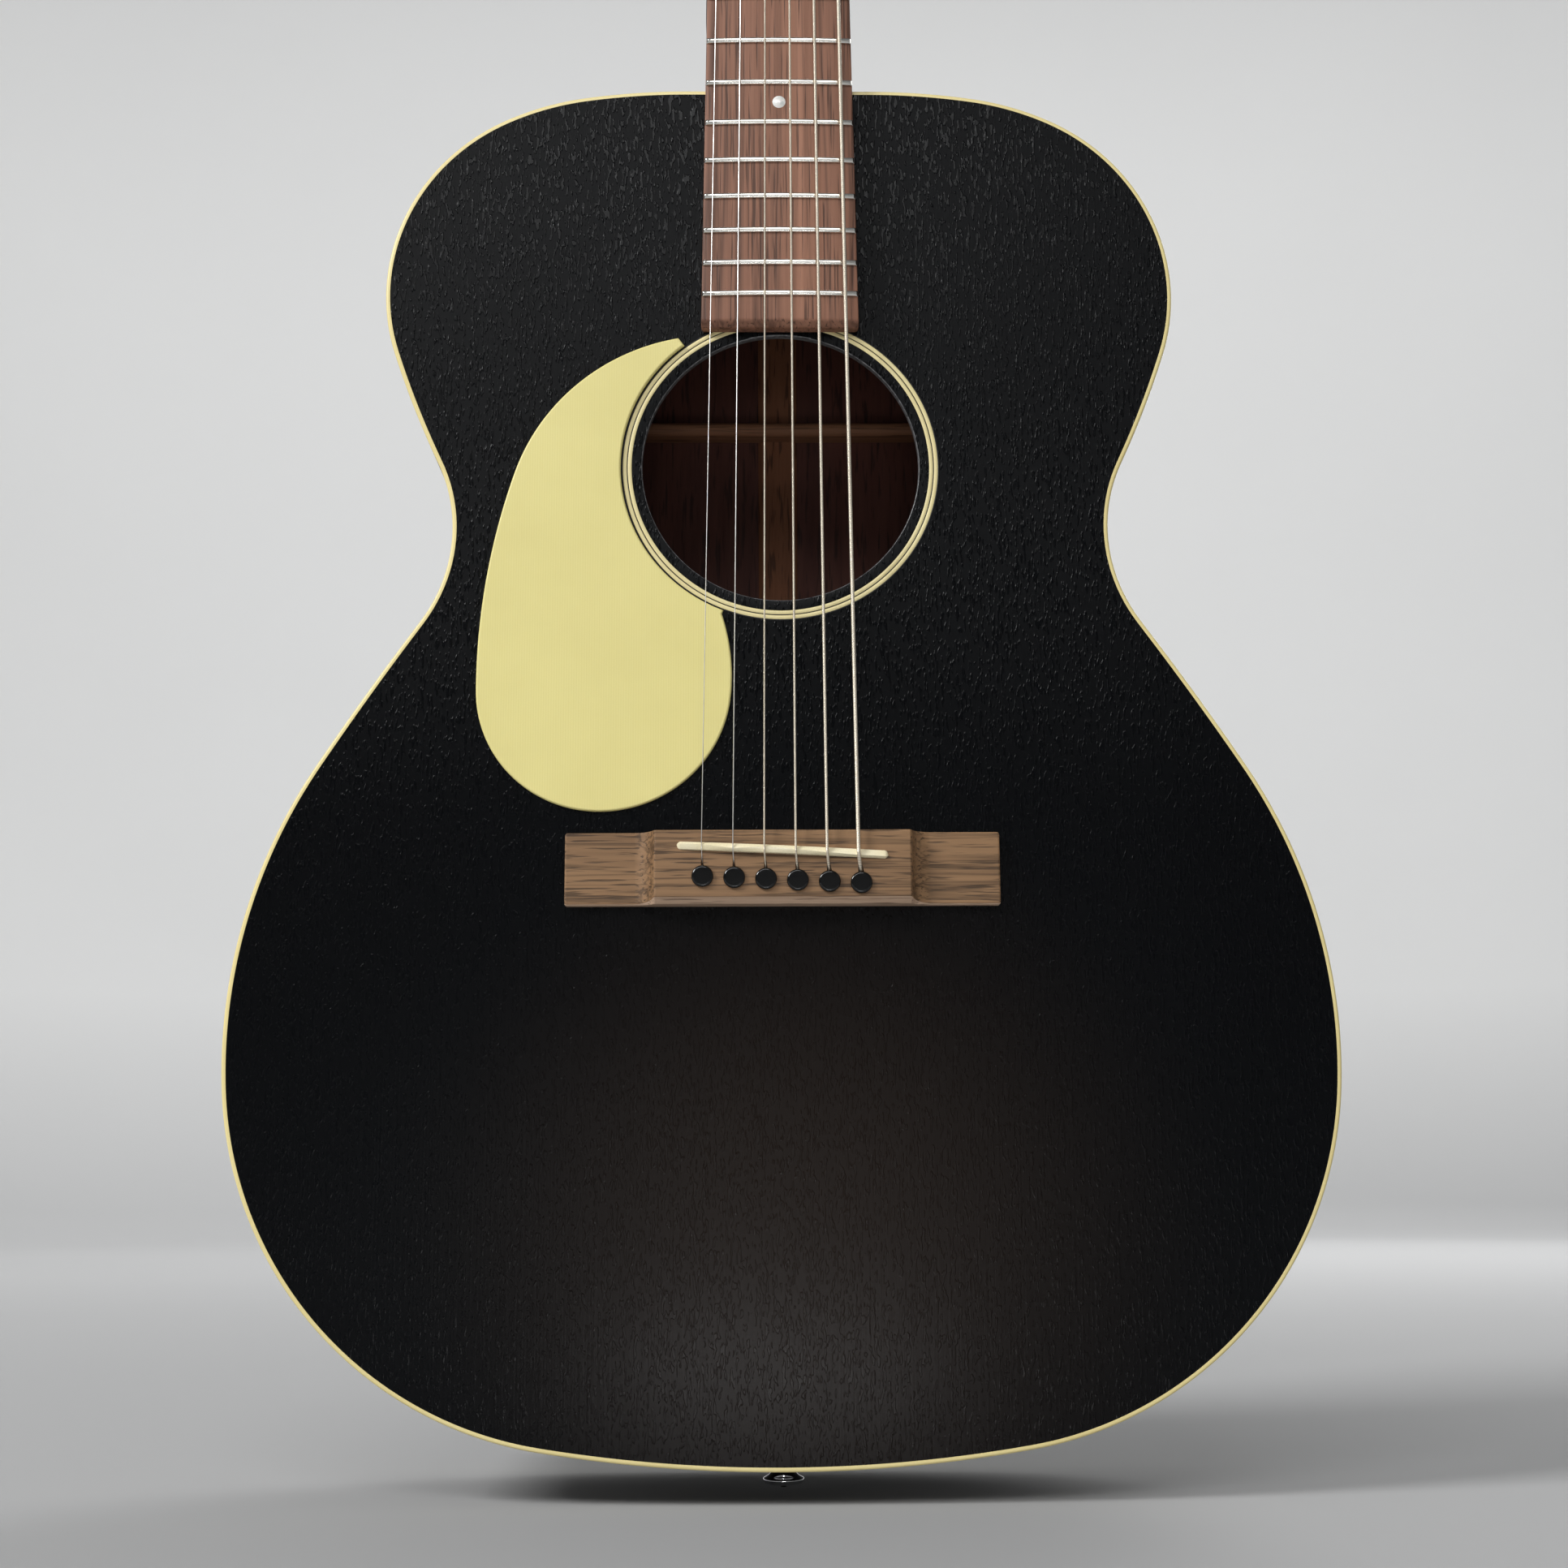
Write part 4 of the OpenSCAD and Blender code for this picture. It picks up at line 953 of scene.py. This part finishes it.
def make_neck():
    """Shaft, heel and headstock in one skin, with a tenon and six post holes."""
    m = 26
    rings = []

    def ring(points):
        points = [(0.0, points[0][1], points[0][2])] + points
        rings.append(points + [(-p[0], p[1], p[2]) for p in reversed(points)])

    # The rings crowd together at the heel and spread out towards the nut.
    past_heel = 150
    zs = [JOINT_Z + past_heel * (i / 34) ** 1.25 for i in range(35)]
    zs += [zs[-1] + (NUT_END - zs[-1]) * i / 10 for i in range(1, 11)]
    for z in zs:
        depth = max(neck_d(z), heel_depth(z - JOINT_Z))
        pts = []
        for k in range(m + 1):
            y = depth * sin(90 * k / m)
            w = max(0.02 if k == m else 0.3, neck_half(y, z))
            # A small flat edge keeps the shaft flush with the fingerboard.
            pts.append((min(w, board_w(z) / 2) if y < 1 else w, y, z))
        ring(pts)
    steps = [0.1, 1.5, 3, 5, 7, 9, 11, 13, 15, 17.5, 20, 23, 26, 30, 40, 60, 90, 120, 150]
    tip = HEAD_L - HEAD_R
    steps += [tip + HEAD_R * sin(a) for a in (0, 20, 40, 60, 75, 90)]
    for e in steps:
        turn = HEAD_TILT * min(1, e / 20)
        base = Vector(from_head((0, PLATE_T, e)))
        depth = HEAD_T / cos(HEAD_TILT - turn)
        away = Vector((0, cos(turn), -sin(turn)))
        p = 2 + (min(1, e / 26) ** 2) * 24
        w = head_half(e)
        if e > tip:
            w = head_half(HEAD_L) - HEAD_R + math.sqrt(max(0, HEAD_R ** 2 - (e - tip) ** 2))
        pts = []
        for k in range(m + 1):
            s = sin(90 * k / m)
            q = base + away * (depth * s)
            pts.append((max(0.02 if k == m else 0.3, w * oval(s, p)), q[1], q[2]))
        ring(pts)
    # The end rises a little to its middle, like the face plate's.
    flat = head_half(HEAD_L) - HEAD_R
    up = Vector(from_head((0, 0, HEAD_PEAK))) - Vector(from_head((0, 0, 0)))
    rings[-1] = [tuple(Vector(p) + up * max(0, 1 - abs(p[0]) / flat)) for p in rings[-1]]
    verts, faces = loft(rings)
    tenon = [(-14, JOINT_Z + 0.4), (14, JOINT_Z + 0.4), (18, JOINT_Z - 18), (-18, JOINT_Z - 18)]
    verts, faces = join((verts, faces), bevelled_prism(tenon, 0.05, 70, 0.3, 1, front=False))
    obj = piece("neck_wood", verts, faces, "neck", ["neck"], slot="mahogany", sharp=38)
    carve(obj, *head_rods(-1, 20, POST_HOLE_R), sharp=38)


def head_plan(start):
    """The headstock's outline, from a distance above the nut up to its slightly peaked end."""
    x, z = head_half(HEAD_L) - HEAD_R, HEAD_L - HEAD_R
    half = [(head_half(e), e) for e in (start, *range(1, HEAD_FLARE_L + 1), 40, 80, 120)]
    half += [(x + HEAD_R * cos(a), z + HEAD_R * sin(a)) for a in range(0, 91, 10)]
    return half + [(0, HEAD_L + HEAD_PEAK)] + [(-x, z) for x, z in reversed(half)]


def make_headplate():
    verts, faces = bevelled_prism(head_plan(0.45), 0, PLATE_T - 0.02, 0.5, 3)
    obj = piece("head_face_plate", verts, faces, "faceplate", ["headplate"], slot="rosewood", sharp=35,
                head=True)
    level(carve(obj, *head_rods(-2, 4, BUSHING_HOLE_R)))


def make_heel_cap():
    plan = [(HEEL_W * cos(a), JOINT_Z + HEEL_L * sin(a)) for a in range(0, 181, 5)]
    verts, faces = bevelled_prism(plan, HEEL_Y + 0.02, HEEL_Y + 2.38, 0.6, 3, front=False, back=True)
    level(piece("heel_cap_plate", verts, faces, "cap", ["heel_cap"], slot="black_plastic", sharp=35))


# ---------------------------------------------------------------- fingerboard, frets and nut
def board_top(x):
    """Depth of the crowned playing surface, negative in front of the top plate."""
    return BOARD_R - math.sqrt(BOARD_R ** 2 - x * x) - BOARD_T


def stations(half, ends, n):
    """Places across from -half to half: at each of the given distances from both ends, then n even steps."""
    left, run = [-half + e for e in ends], 2 * (half - ends[-1])
    return left + [left[-1] + run * i / n for i in range(1, n)] + [-x for x in reversed(left)]


def make_fingerboard():
    """A crowned board with eased long edges and a rounded bevel where it ends over the sound hole."""
    m = 16
    rings = []
    bevel = END_BEVEL
    zs = [(0.0, bevel + 0.5), (0.15, bevel + 0.05), (0.5, bevel - 0.42)]
    zs += [(bevel * t, bevel * (1 - t) + 0.10 * sin(180 * t)) for t in (0.4, 0.6, 0.8)]
    zs += [(bevel, 0.2), (bevel + 0.4, 0.05), (bevel + 1.0, 0.0)]
    rows = [(BOARD_END + dz, drop) for dz, drop in zs]
    rows += [(z, 0.0) for z in (450, 520, 600, 700, 800, NUT_Z)]
    for z, drop in rows:
        pull = 1.3 - math.sqrt(max(0, 1.3 ** 2 - max(0, BOARD_END + 1.3 - z) ** 2))
        half = board_w(z) / 2 - pull
        ease = 0.45
        edge = board_top(half) + drop
        side = [(half, -0.02)]
        side += [(half - ease + ease * cos(a), min(-0.05, edge + ease - ease * sin(a))) for a in (0, 30, 60)]
        xs = [(half - ease) * (1 - 2 * i / m) for i in range(m + 1)]
        face = [(x, min(-0.04, board_top(x) + drop)) for x in xs]
        rings.append([(x, y, z) for x, y in side + face + [(-x, y) for x, y in side[::-1]]])
    verts, faces = loft(rings)
    piece("rosewood_fingerboard", verts, faces, "board", ["fingerboard"], slot="rosewood", sharp=40)


def make_frets():
    """Crowned wire pressed into the board, its ends filed to a slope."""
    parts = []
    for n in range(1, 21):
        z = fret_z(n)
        half = board_w(z) / 2 - 0.12
        rings = []
        for x in stations(half, [FRET_SLOPE * f for f in (0, 0.3, 0.65, 1)], 14):
            left = min(half - x, half + x)
            h = FRET_H * max(0.12, min(1.0, sin(90 * min(1, left / FRET_SLOPE))))
            base = board_top(x)
            crown = [(base - h * sin(a) ** 0.8, FRET_HALF_W * cos(a))
                     for a in (20, 40, 60, 75, 90, 105, 120, 140, 160)]
            foot = [(base, FRET_HALF_W), (base + 0.3, FRET_HALF_W - 0.02)]
            ring = foot[::-1] + crown + [(y, -e) for y, e in foot]
            rings.append([(x, y, z + e) for y, e in ring])
        parts.append(loft(rings))
        tang = ((0.25, -0.28), (2.0, -0.28), (2.0, 0.28), (0.25, 0.28))
        parts.append(loft([[(x, board_top(x) + y, z + e) for y, e in tang]
                           for x in (0.25 - half, 0, half - 0.25)]))
    verts, faces = join(*parts)
    piece("fret_wires", verts, faces, "fret", ["frets"], slot="nickel", sharp=40)


def make_dots():
    """Pearl dots on the board's face, and small ones along its edge."""
    face, edge = [], []
    for n in (5, 7, 9, 12, 15):
        z = (fret_z(n) + fret_z(n - 1)) / 2
        for x in ((-9.5, 9.5) if n == 12 else (0,)):
            face.append(lathe([(0, -1.2), (2.4, -1.2), (2.4, -0.02), (2.33, 0.035), (0, 0.045)],
                              (x, board_top(x), z), (0, -1, 0), 40))
    for n in (3, 5, 7, 9, 12, 15):
        z = (fret_z(n) + fret_z(n - 1)) / 2
        for e in ((-2.5, 2.5) if n == 12 else (0,)):
            edge.append(lathe([(0, -1.2), (1, -1.2), (1, -0.03), (0.94, 0.03), (0, 0.04)],
                              (board_w(z + e) / 2, -3.2, z + e), (1, 0, 0), 24))
    piece("pearl_dots", *join(*face), "pearl", ["position_dots"], slot="pearl", sharp=40)
    piece("edge_dots", *join(*edge), "pearl", ["side_dots"], slot="pearl", sharp=40)


def nut_y(k):
    """Height of a string's slot in the nut."""
    return NUT_H - crest_drop(spread(k, NUT_SPREAD))


def make_nut():
    """A bone block with a rounded back and six round-bottomed string slots."""
    half = NUT_W / 2
    rings = []
    for x in stations(half, (0, 0.12, 0.4, 0.9), 24):
        left = min(half - x, half + x)
        pull = 0.9 - math.sqrt(max(0, 0.81 - max(0, 0.9 - left) ** 2))
        top = NUT_CREST - crest_drop(x) - pull
        r = 1.6
        ring = [(-0.02, NUT_Z + 0.02), (-top + 0.35, NUT_Z + 0.02), (-top + 0.1, NUT_Z + 0.12)]
        ring += [(-top, NUT_Z + 0.4)]
        ring += [(-top + (r - r * cos(a)) * 1.5, NUT_END - r + r * sin(a))
                 for a in (0, 22, 45, 68, 90)]
        ring += [(-0.02, NUT_END)]
        rings.append([(x, y, z) for y, z in ring])
    verts, faces = loft(rings)
    obj = piece("bone_nut", verts, faces, "bone", ["nut"], slot="bone", sharp=35)
    slots = []
    for k in STRINGS:
        x, y, r = spread(k, NUT_SPREAD), -nut_y(k), GAUGES[k - 1] / 2 + 0.05
        ends = []
        for z, y in ((NUT_Z - 1, y - 0.1), (NUT_Z + 0.6, y), (NUT_END + 1, y + 0.72)):
            bottom = [(x + r * cos(a), y - r + r * sin(a), z) for a in (30, 60, 90, 120, 150)]
            ends.append([(x + r * 1.15, y - 4, z), (x + r, y - r, z)] + bottom
                        + [(x - r, y - r, z), (x - r * 1.15, y - 4, z)])
        slots.append(loft(ends))
    level(carve(obj, *slots, sharp=35))


# ---------------------------------------------------------------- strings
def wrap(k, a, r_more=0.0):
    """A place on the string's helix round its post, a degrees from where it arrives."""
    g, (px, pz) = GAUGES[k - 1], post_of(k)
    r, s = POST_R + g / 2 + 0.1 + r_more, math.copysign(1, px)
    return Vector(from_head((px - s * r * cos(a), -WRAP_Y - (g + 0.15) * a / 360, pz + r * sin(a))))


def string_slot(k):
    """The two thinnest strings are plain, the rest wound."""
    return "plain_steel" if k < 3 else "bronze"


def make_string(k):
    """A string from its ball end, over saddle and nut, to its first turn round the post."""
    g, x, px = GAUGES[k - 1], saddle_x(k), pin_at(k)[0]
    plate_t, ball_r = 2.5, 2.05
    start = Vector((px, TOP_T + plate_t + ball_r, slot_z(k)))
    nut_front = Vector((spread(k, NUT_SPREAD), -nut_y(k) - g / 2, NUT_Z + 0.5))
    nut_back = Vector((spread(k, NUT_SPREAD), 0.55 - nut_y(k) - g / 2, NUT_END - 0.2))
    rise, crest = (px, -RAMP_H, slot_z(k)), (x, -crest_y(k), saddle_z(x))
    route = rounded([start, rise, crest, nut_front, nut_back, wrap(k, 0)], 1.3, 6)
    path = []
    for p, q in zip(route, route[1:]):
        n = max(1, int((q - p).length / 24))
        path += [p.lerp(q, i / n) for i in range(n)]
    path += [wrap(k, a) for a in range(0, 301, 10)]
    rim = [(0, -1.7), (1.2, -1.7), (1.75, -1.45), (2.0, -0.9)]
    ball = lathe(rim + [(1.85, 0)] + [(r, -h) for r, h in reversed(rim)], start, (1, 0, 0), 24)
    piece(f"guitar_string_{k}", *join(tube(path, g / 2 * 0.98, 14), ball), STRING_MAT[k], [f"string_{k}"],
          slot=string_slot(k))


def make_winding(k):
    """The turns that go round with the post, and the end that goes through its hole."""
    g, (px, pz) = GAUGES[k - 1], post_of(k)
    s, r, hole_y = math.copysign(1, px), POST_R + g / 2 + 0.08, -10.5
    last = 300 + 360 * (WINDING_TURNS[k - 1] - 1)
    path = [wrap(k, a, -0.02) for a in (*range(262, 300, 12), *range(300, last, 12))]
    top_y = -WRAP_Y - (g + 0.15) * last / 360
    swing = (90 - last) % 360
    stop = last + swing + (360 if swing < 150 else 0)
    for i in range(1, 19):
        f = i / 18
        a = last + (stop - last) * f
        y = top_y + (hole_y - top_y) * (f * f * (3 - 2 * f))
        path.append(Vector(from_head((px - s * r * cos(a), y, pz + r * sin(a)))))
    through = Vector(from_head((px, hole_y, pz)))
    inward = Vector(from_head((px, hole_y, pz - 5.2))) - through
    bend = [path[-1], through, through + inward * 0.9, through + inward * 1.15 + Vector((0, -0.5, 0))]
    path += rounded(bend, 0.6, 4)[1:]
    piece(f"post_winding_{k}", *tube(path, g / 2, 12), STRING_MAT[k], [f"string_winding_{k}"],
          body=f"post_{k}", slot=string_slot(k))


# ---------------------------------------------------------------- tuners
# Radius along the button and along the shaft, both as (place, radius) out from the post's axis.
KNOB_PROFILE = [(13, 2.6), (13.4, 2.85), (14, 2.9), (14.8, 2.75), (15.6, 3.0), (16.6, 4.1), (17.8, 5.8),
                (19, 7.1), (20.4, 8.05), (22.2, 8.5), (24, 8.6), (25.8, 8.45), (27.4, 7.75), (28.7, 6.6),
                (29.6, 5.0), (30.05, 3.2), (30.2, 1.2)]
SHAFT_PROFILE = [(-6.6, 0.9), (-6.4, 1.25), (-4.35, 1.25), (-4.3, 1.95), (4.3, 1.95), (4.35, 1.25),
                 (8, 1.25), (9.5, 1.6), (12.2, 1.9), (13.2, 2.2)]
THREAD_TURNS = 2.6


def tuner_point(k, p):
    """A point in one tuner's frame, x outwards along its worm, turned into the guitar's plane."""
    px, pz = post_of(k)
    s = math.copysign(1, px)
    return from_head((s * (abs(px) + p[0]), p[1], pz + p[2]))


def on_worm(k, x, r, a):
    """A point at a radius and an angle round one worm's own axis."""
    return tuner_point(k, (x, GEAR_Y + r * cos(a), -MESH_GAP + r * sin(a)))


def make_knob(k):
    """A worm shaft with its thread, and the hollow-cheeked button on its end."""
    rings = []
    for x, r in KNOB_PROFILE:
        thick = min(4.0, r) if x < 15 else min(4.0, 2.75 + 1.25 * min(1, (x - 15) / 5), r)
        if x > 26:
            thick = min(thick, 4.0 * math.sqrt(max(0.02, 1 - ((x - 26) / 4.35) ** 2.4)))
        p = 2.6 if x > 15 else 2
        ring = []
        for a in turns(44):
            c, s = cos(a), sin(a)
            d = (abs(c) ** p + abs(s) ** p) ** (-1 / p)
            ring.append((x, GEAR_Y + thick * c * d, -MESH_GAP + r * s * d))
        rings.append([tuner_point(k, q) for q in ring])
    core = loft([[on_worm(k, x, r, a) for a in turns(28)] for x, r in SHAFT_PROFILE])
    thread = []
    for i in range(105):
        f = i / 104
        a = 90 + (f - 0.5) * THREAD_TURNS * 360
        x = WORM_PITCH * (a - 90) / 360
        tip = 1.8 + 1.75 * min(1, 6 * f, 6 * (1 - f)) ** 0.5
        flank = [(1.75, 0.6), (tip - 0.35, 0.33), (tip, 0.2)]
        flank += [(r, -dx) for r, dx in reversed(flank)]
        thread.append([on_worm(k, x + dx, r, a) for r, dx in flank])
    piece(f"tuner_button_{k}", *join(loft(rings), core, loft(thread)), "nickel", [f"tuner_knob_{k}"],
          body=f"knob_{k}", slot="nickel", sharp=40)


# ---------------------------------------------------------------- inside
def make_back_bars():
    """Braces across the back with rounded crowns and feathered ends, and the strip between them."""
    parts = []
    half = BACK_BRACE_W / 2
    for z in BACK_BRACE_Z:
        inner = outline(SIDE_T + LINING_W + 0.6, 2.0)
        reach = max(abs(p[0]) for p in inner if abs(p[1] - z) < 3)
        xs = [-reach + 0.2 + (2 * reach - 0.4) * i / 40 for i in range(41)]
        rings = []
        for x in xs:
            left = (reach - abs(x)) / 34
            h = 4.2 + (BACK_BRACE_H - 4.3) * min(1, max(0, left)) ** 0.8
            base = dome(x, z, BACK_T) - 0.02
            low = base - h + half
            crown = [(low - half * sin(a), -half * cos(a)) for a in (15, 30, 50, 70, 90, 110, 130, 150, 165)]
            rings.append([(x, y, z + dz) for y, dz in
                          [(base, -half), (low, -half)] + crown + [(low, half), (base, half)]])
        parts.append(loft(rings))
    piece("back_bars", *join(*parts), "cross_brace", ["back_braces"], slot="back_brace", sharp=40)
    strips = []
    gap = half + 0.1
    for a, b in zip((END_BLOCK_Z, *BACK_BRACE_Z), (*BACK_BRACE_Z, BLOCK_Z)):
        lo, hi = a + (0.2 if a == END_BLOCK_Z else gap), b - (0.2 if b == BLOCK_Z else gap)
        rings = []
        for i in range(7):
            z = lo + (hi - lo) * i / 6
            base = dome(0, z, BACK_T) - 0.03
            rings.append([(x, base - h, z) for x, h in
                          ((-7.7, 0), (-7.7, 0.5), (-6.2, 1.5), (6.2, 1.5), (7.7, 0.5), (7.7, 0))])
        strips.append(loft(rings))
    piece("centre_strip", *join(*strips), "strip", ["back_strip"], slot="lining_wood", sharp=25)


make_top()
make_back()
make_sides()
make_bindings()
make_linings()
make_rosette()
make_pickguard()
make_bridge()
make_saddle()
make_pins()
make_strap_button()
make_neck()
make_headplate()
make_heel_cap()
make_fingerboard()
make_frets()
make_dots()
make_nut()
for k in STRINGS:
    make_string(k)
    make_winding(k)
    make_knob(k)
make_back_bars()


# ---------------------------------------------------------------- CAD nodes that stay
def finish_node(name, mat, bevel=0.0):
    """Gives a CAD node its material and, where it has hard edges, a small round on each."""
    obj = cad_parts[name]
    obj.data.materials.clear()
    obj.data.materials.append(MAT[mat])
    if bevel:
        weld = obj.modifiers.new("weld", "WELD")
        weld.merge_threshold = 1e-6
        edge = obj.modifiers.new("ease", "BEVEL")
        edge.width, edge.segments, edge.limit_method = bevel * MM, 2, "ANGLE"
        edge.angle_limit = math.radians(40)
        edge.use_clamp_overlap = True


for name in ("x_braces", "tone_bars", "finger_braces", "upper_brace"):
    finish_node(name, "brace", 0.5)
finish_node("bridge_plate", "cross_brace", 0.3)
for name in ("neck_block", "end_block"):
    finish_node(name, "inside_light", 0.6)
finish_node("truss_rod", "rod")
finish_node("truss_rod_nut", "brass", 0.25)
for name in ("tuner_plates", "tuner_screws", "tuner_bushings"):
    finish_node(name, "nickel", 0.12)
for k in STRINGS:
    finish_node(f"tuner_post_{k}", "nickel", 0.1)


# ---------------------------------------------------------------- stage, lights and camera
def make_stage():
    """A pale floor that curves up into a round wall, so that every view has the same plain ground."""
    floor_z = CAD_BOX[0][2] - 0.0005
    flat_r, cove_r, n = 3.6, 2.4, 96
    profile = [(0.001, 0), (flat_r, 0)]
    profile += [(flat_r + cove_r * sin(a), cove_r - cove_r * cos(a)) for a in range(6, 91, 6)]
    profile.append((flat_r + cove_r, 6.5))
    verts = [(r * cos(a), r * sin(a), floor_z + h) for r, h in profile for a in turns(n)]
    mesh = bpy.data.meshes.new("studio_floor")
    mesh.from_pydata(verts, [], grid_faces(len(profile), n, True, False) + [tuple(range(n))])
    smooth(mesh)
    paper = Nodes("studio_paper")
    height = paper.node("ShaderNodeSeparateXYZ", {"Vector": paper.coords}).outputs["Z"]
    clouds = paper.math("MULTIPLY", paper.noise((0.7,) * 3), 0.2)
    # Painted shade: the floor is a darker grey than the wall to even out the stronger light the key throws
    # on it; the clouds add a random mottle.
    shade_and_mottle = paper.math("ADD", paper.ramp(height, [(0.05, 0), (0.6, 0.8)]), clouds)
    paper.link(paper.mix((0.40, 0.402, 0.405), (0.60, 0.602, 0.60), shade_and_mottle), "Base Color")
    paper.set(Roughness=0.9)
    mesh.materials.append(paper.mat)
    add_object("studio_floor", mesh)


def area_light(name, at, target, size, power):
    """A white rectangle of light, in watts, turned to face a target."""
    data = bpy.data.lights.new(name, "AREA")
    data.shape, data.size, data.size_y, data.energy = "RECTANGLE", *size, power
    obj = add_object(name, data)
    obj.location = at
    obj.rotation_mode = "QUATERNION"
    obj.rotation_quaternion = (Vector(target) - Vector(at)).to_track_quat("-Z", "Y")
    obj.visible_camera = False


def make_lights():
    """A soft key from the upper left, a high front panel that glosses the upper bout, a low one and a small
    near strip for the tail, and fills for the backdrop and the guitar's back."""
    world = bpy.data.worlds.new("studio")
    world.use_nodes = True
    back = world.node_tree.nodes["Background"]
    back.inputs["Color"].default_value = (0.95, 0.97, 1.0, 1)
    back.inputs["Strength"].default_value = 0.15
    bpy.context.scene.world = world
    area_light("key", (-3.0, -1.95, 2.6), (0, 0, 0.3), (1.2, 1.2), 137)
    area_light("high_front", (-0.45, -2.5, 2.02), (0, 0, 0.45), (1.9, 0.85), 28)
    area_light("low_front", (0.0, -2.4, 0.04), (0, 0, 0.1), (0.7, 0.3), 1.9)
    area_light("tail_glow", (0.0, -0.42, 0.0), (0, 0, 0.16), (0.14, 0.025), 0.14)
    area_light("backdrop", (0, 1.8, 3.6), (0, 6.0, 1.6), (4.0, 0.8), 165)
    area_light("rear", (1.6, 2.6, 2.0), (0, 0, 0.4), (1.8, 1.8), 40)


def make_camera():
    """The photographer's place: low, close and tilted up, as fitted from the frets, strings and outline."""
    eye, yaw, tilt, roll = Vector((-9.68, -731.90 - PIN_Y, 92.77)) * MM, 0.809, -10.636, -0.297
    yaw, tilt, roll = map(math.radians, (yaw, tilt, roll))
    ahead = Vector((math.sin(yaw) * math.cos(tilt), math.cos(yaw) * math.cos(tilt), -math.sin(tilt)))
    right = ahead.cross(Vector((0, 0, 1))).normalized()
    up = right.cross(ahead)
    side = math.cos(roll) * right + math.sin(roll) * up
    high = -math.sin(roll) * right + math.cos(roll) * up
    data = bpy.data.cameras.new("photo_camera")
    data.lens, data.sensor_width, data.clip_start, data.clip_end = 49.08, 36, 0.01, 50
    cam = add_object("photo_camera", data)
    cam.matrix_world = Matrix((side, high, -ahead)).transposed().to_4x4()
    cam.location = eye
    bpy.context.scene.camera = cam


make_stage()
make_lights()
make_camera()
bpy.context.scene.view_settings.view_transform = "Standard"
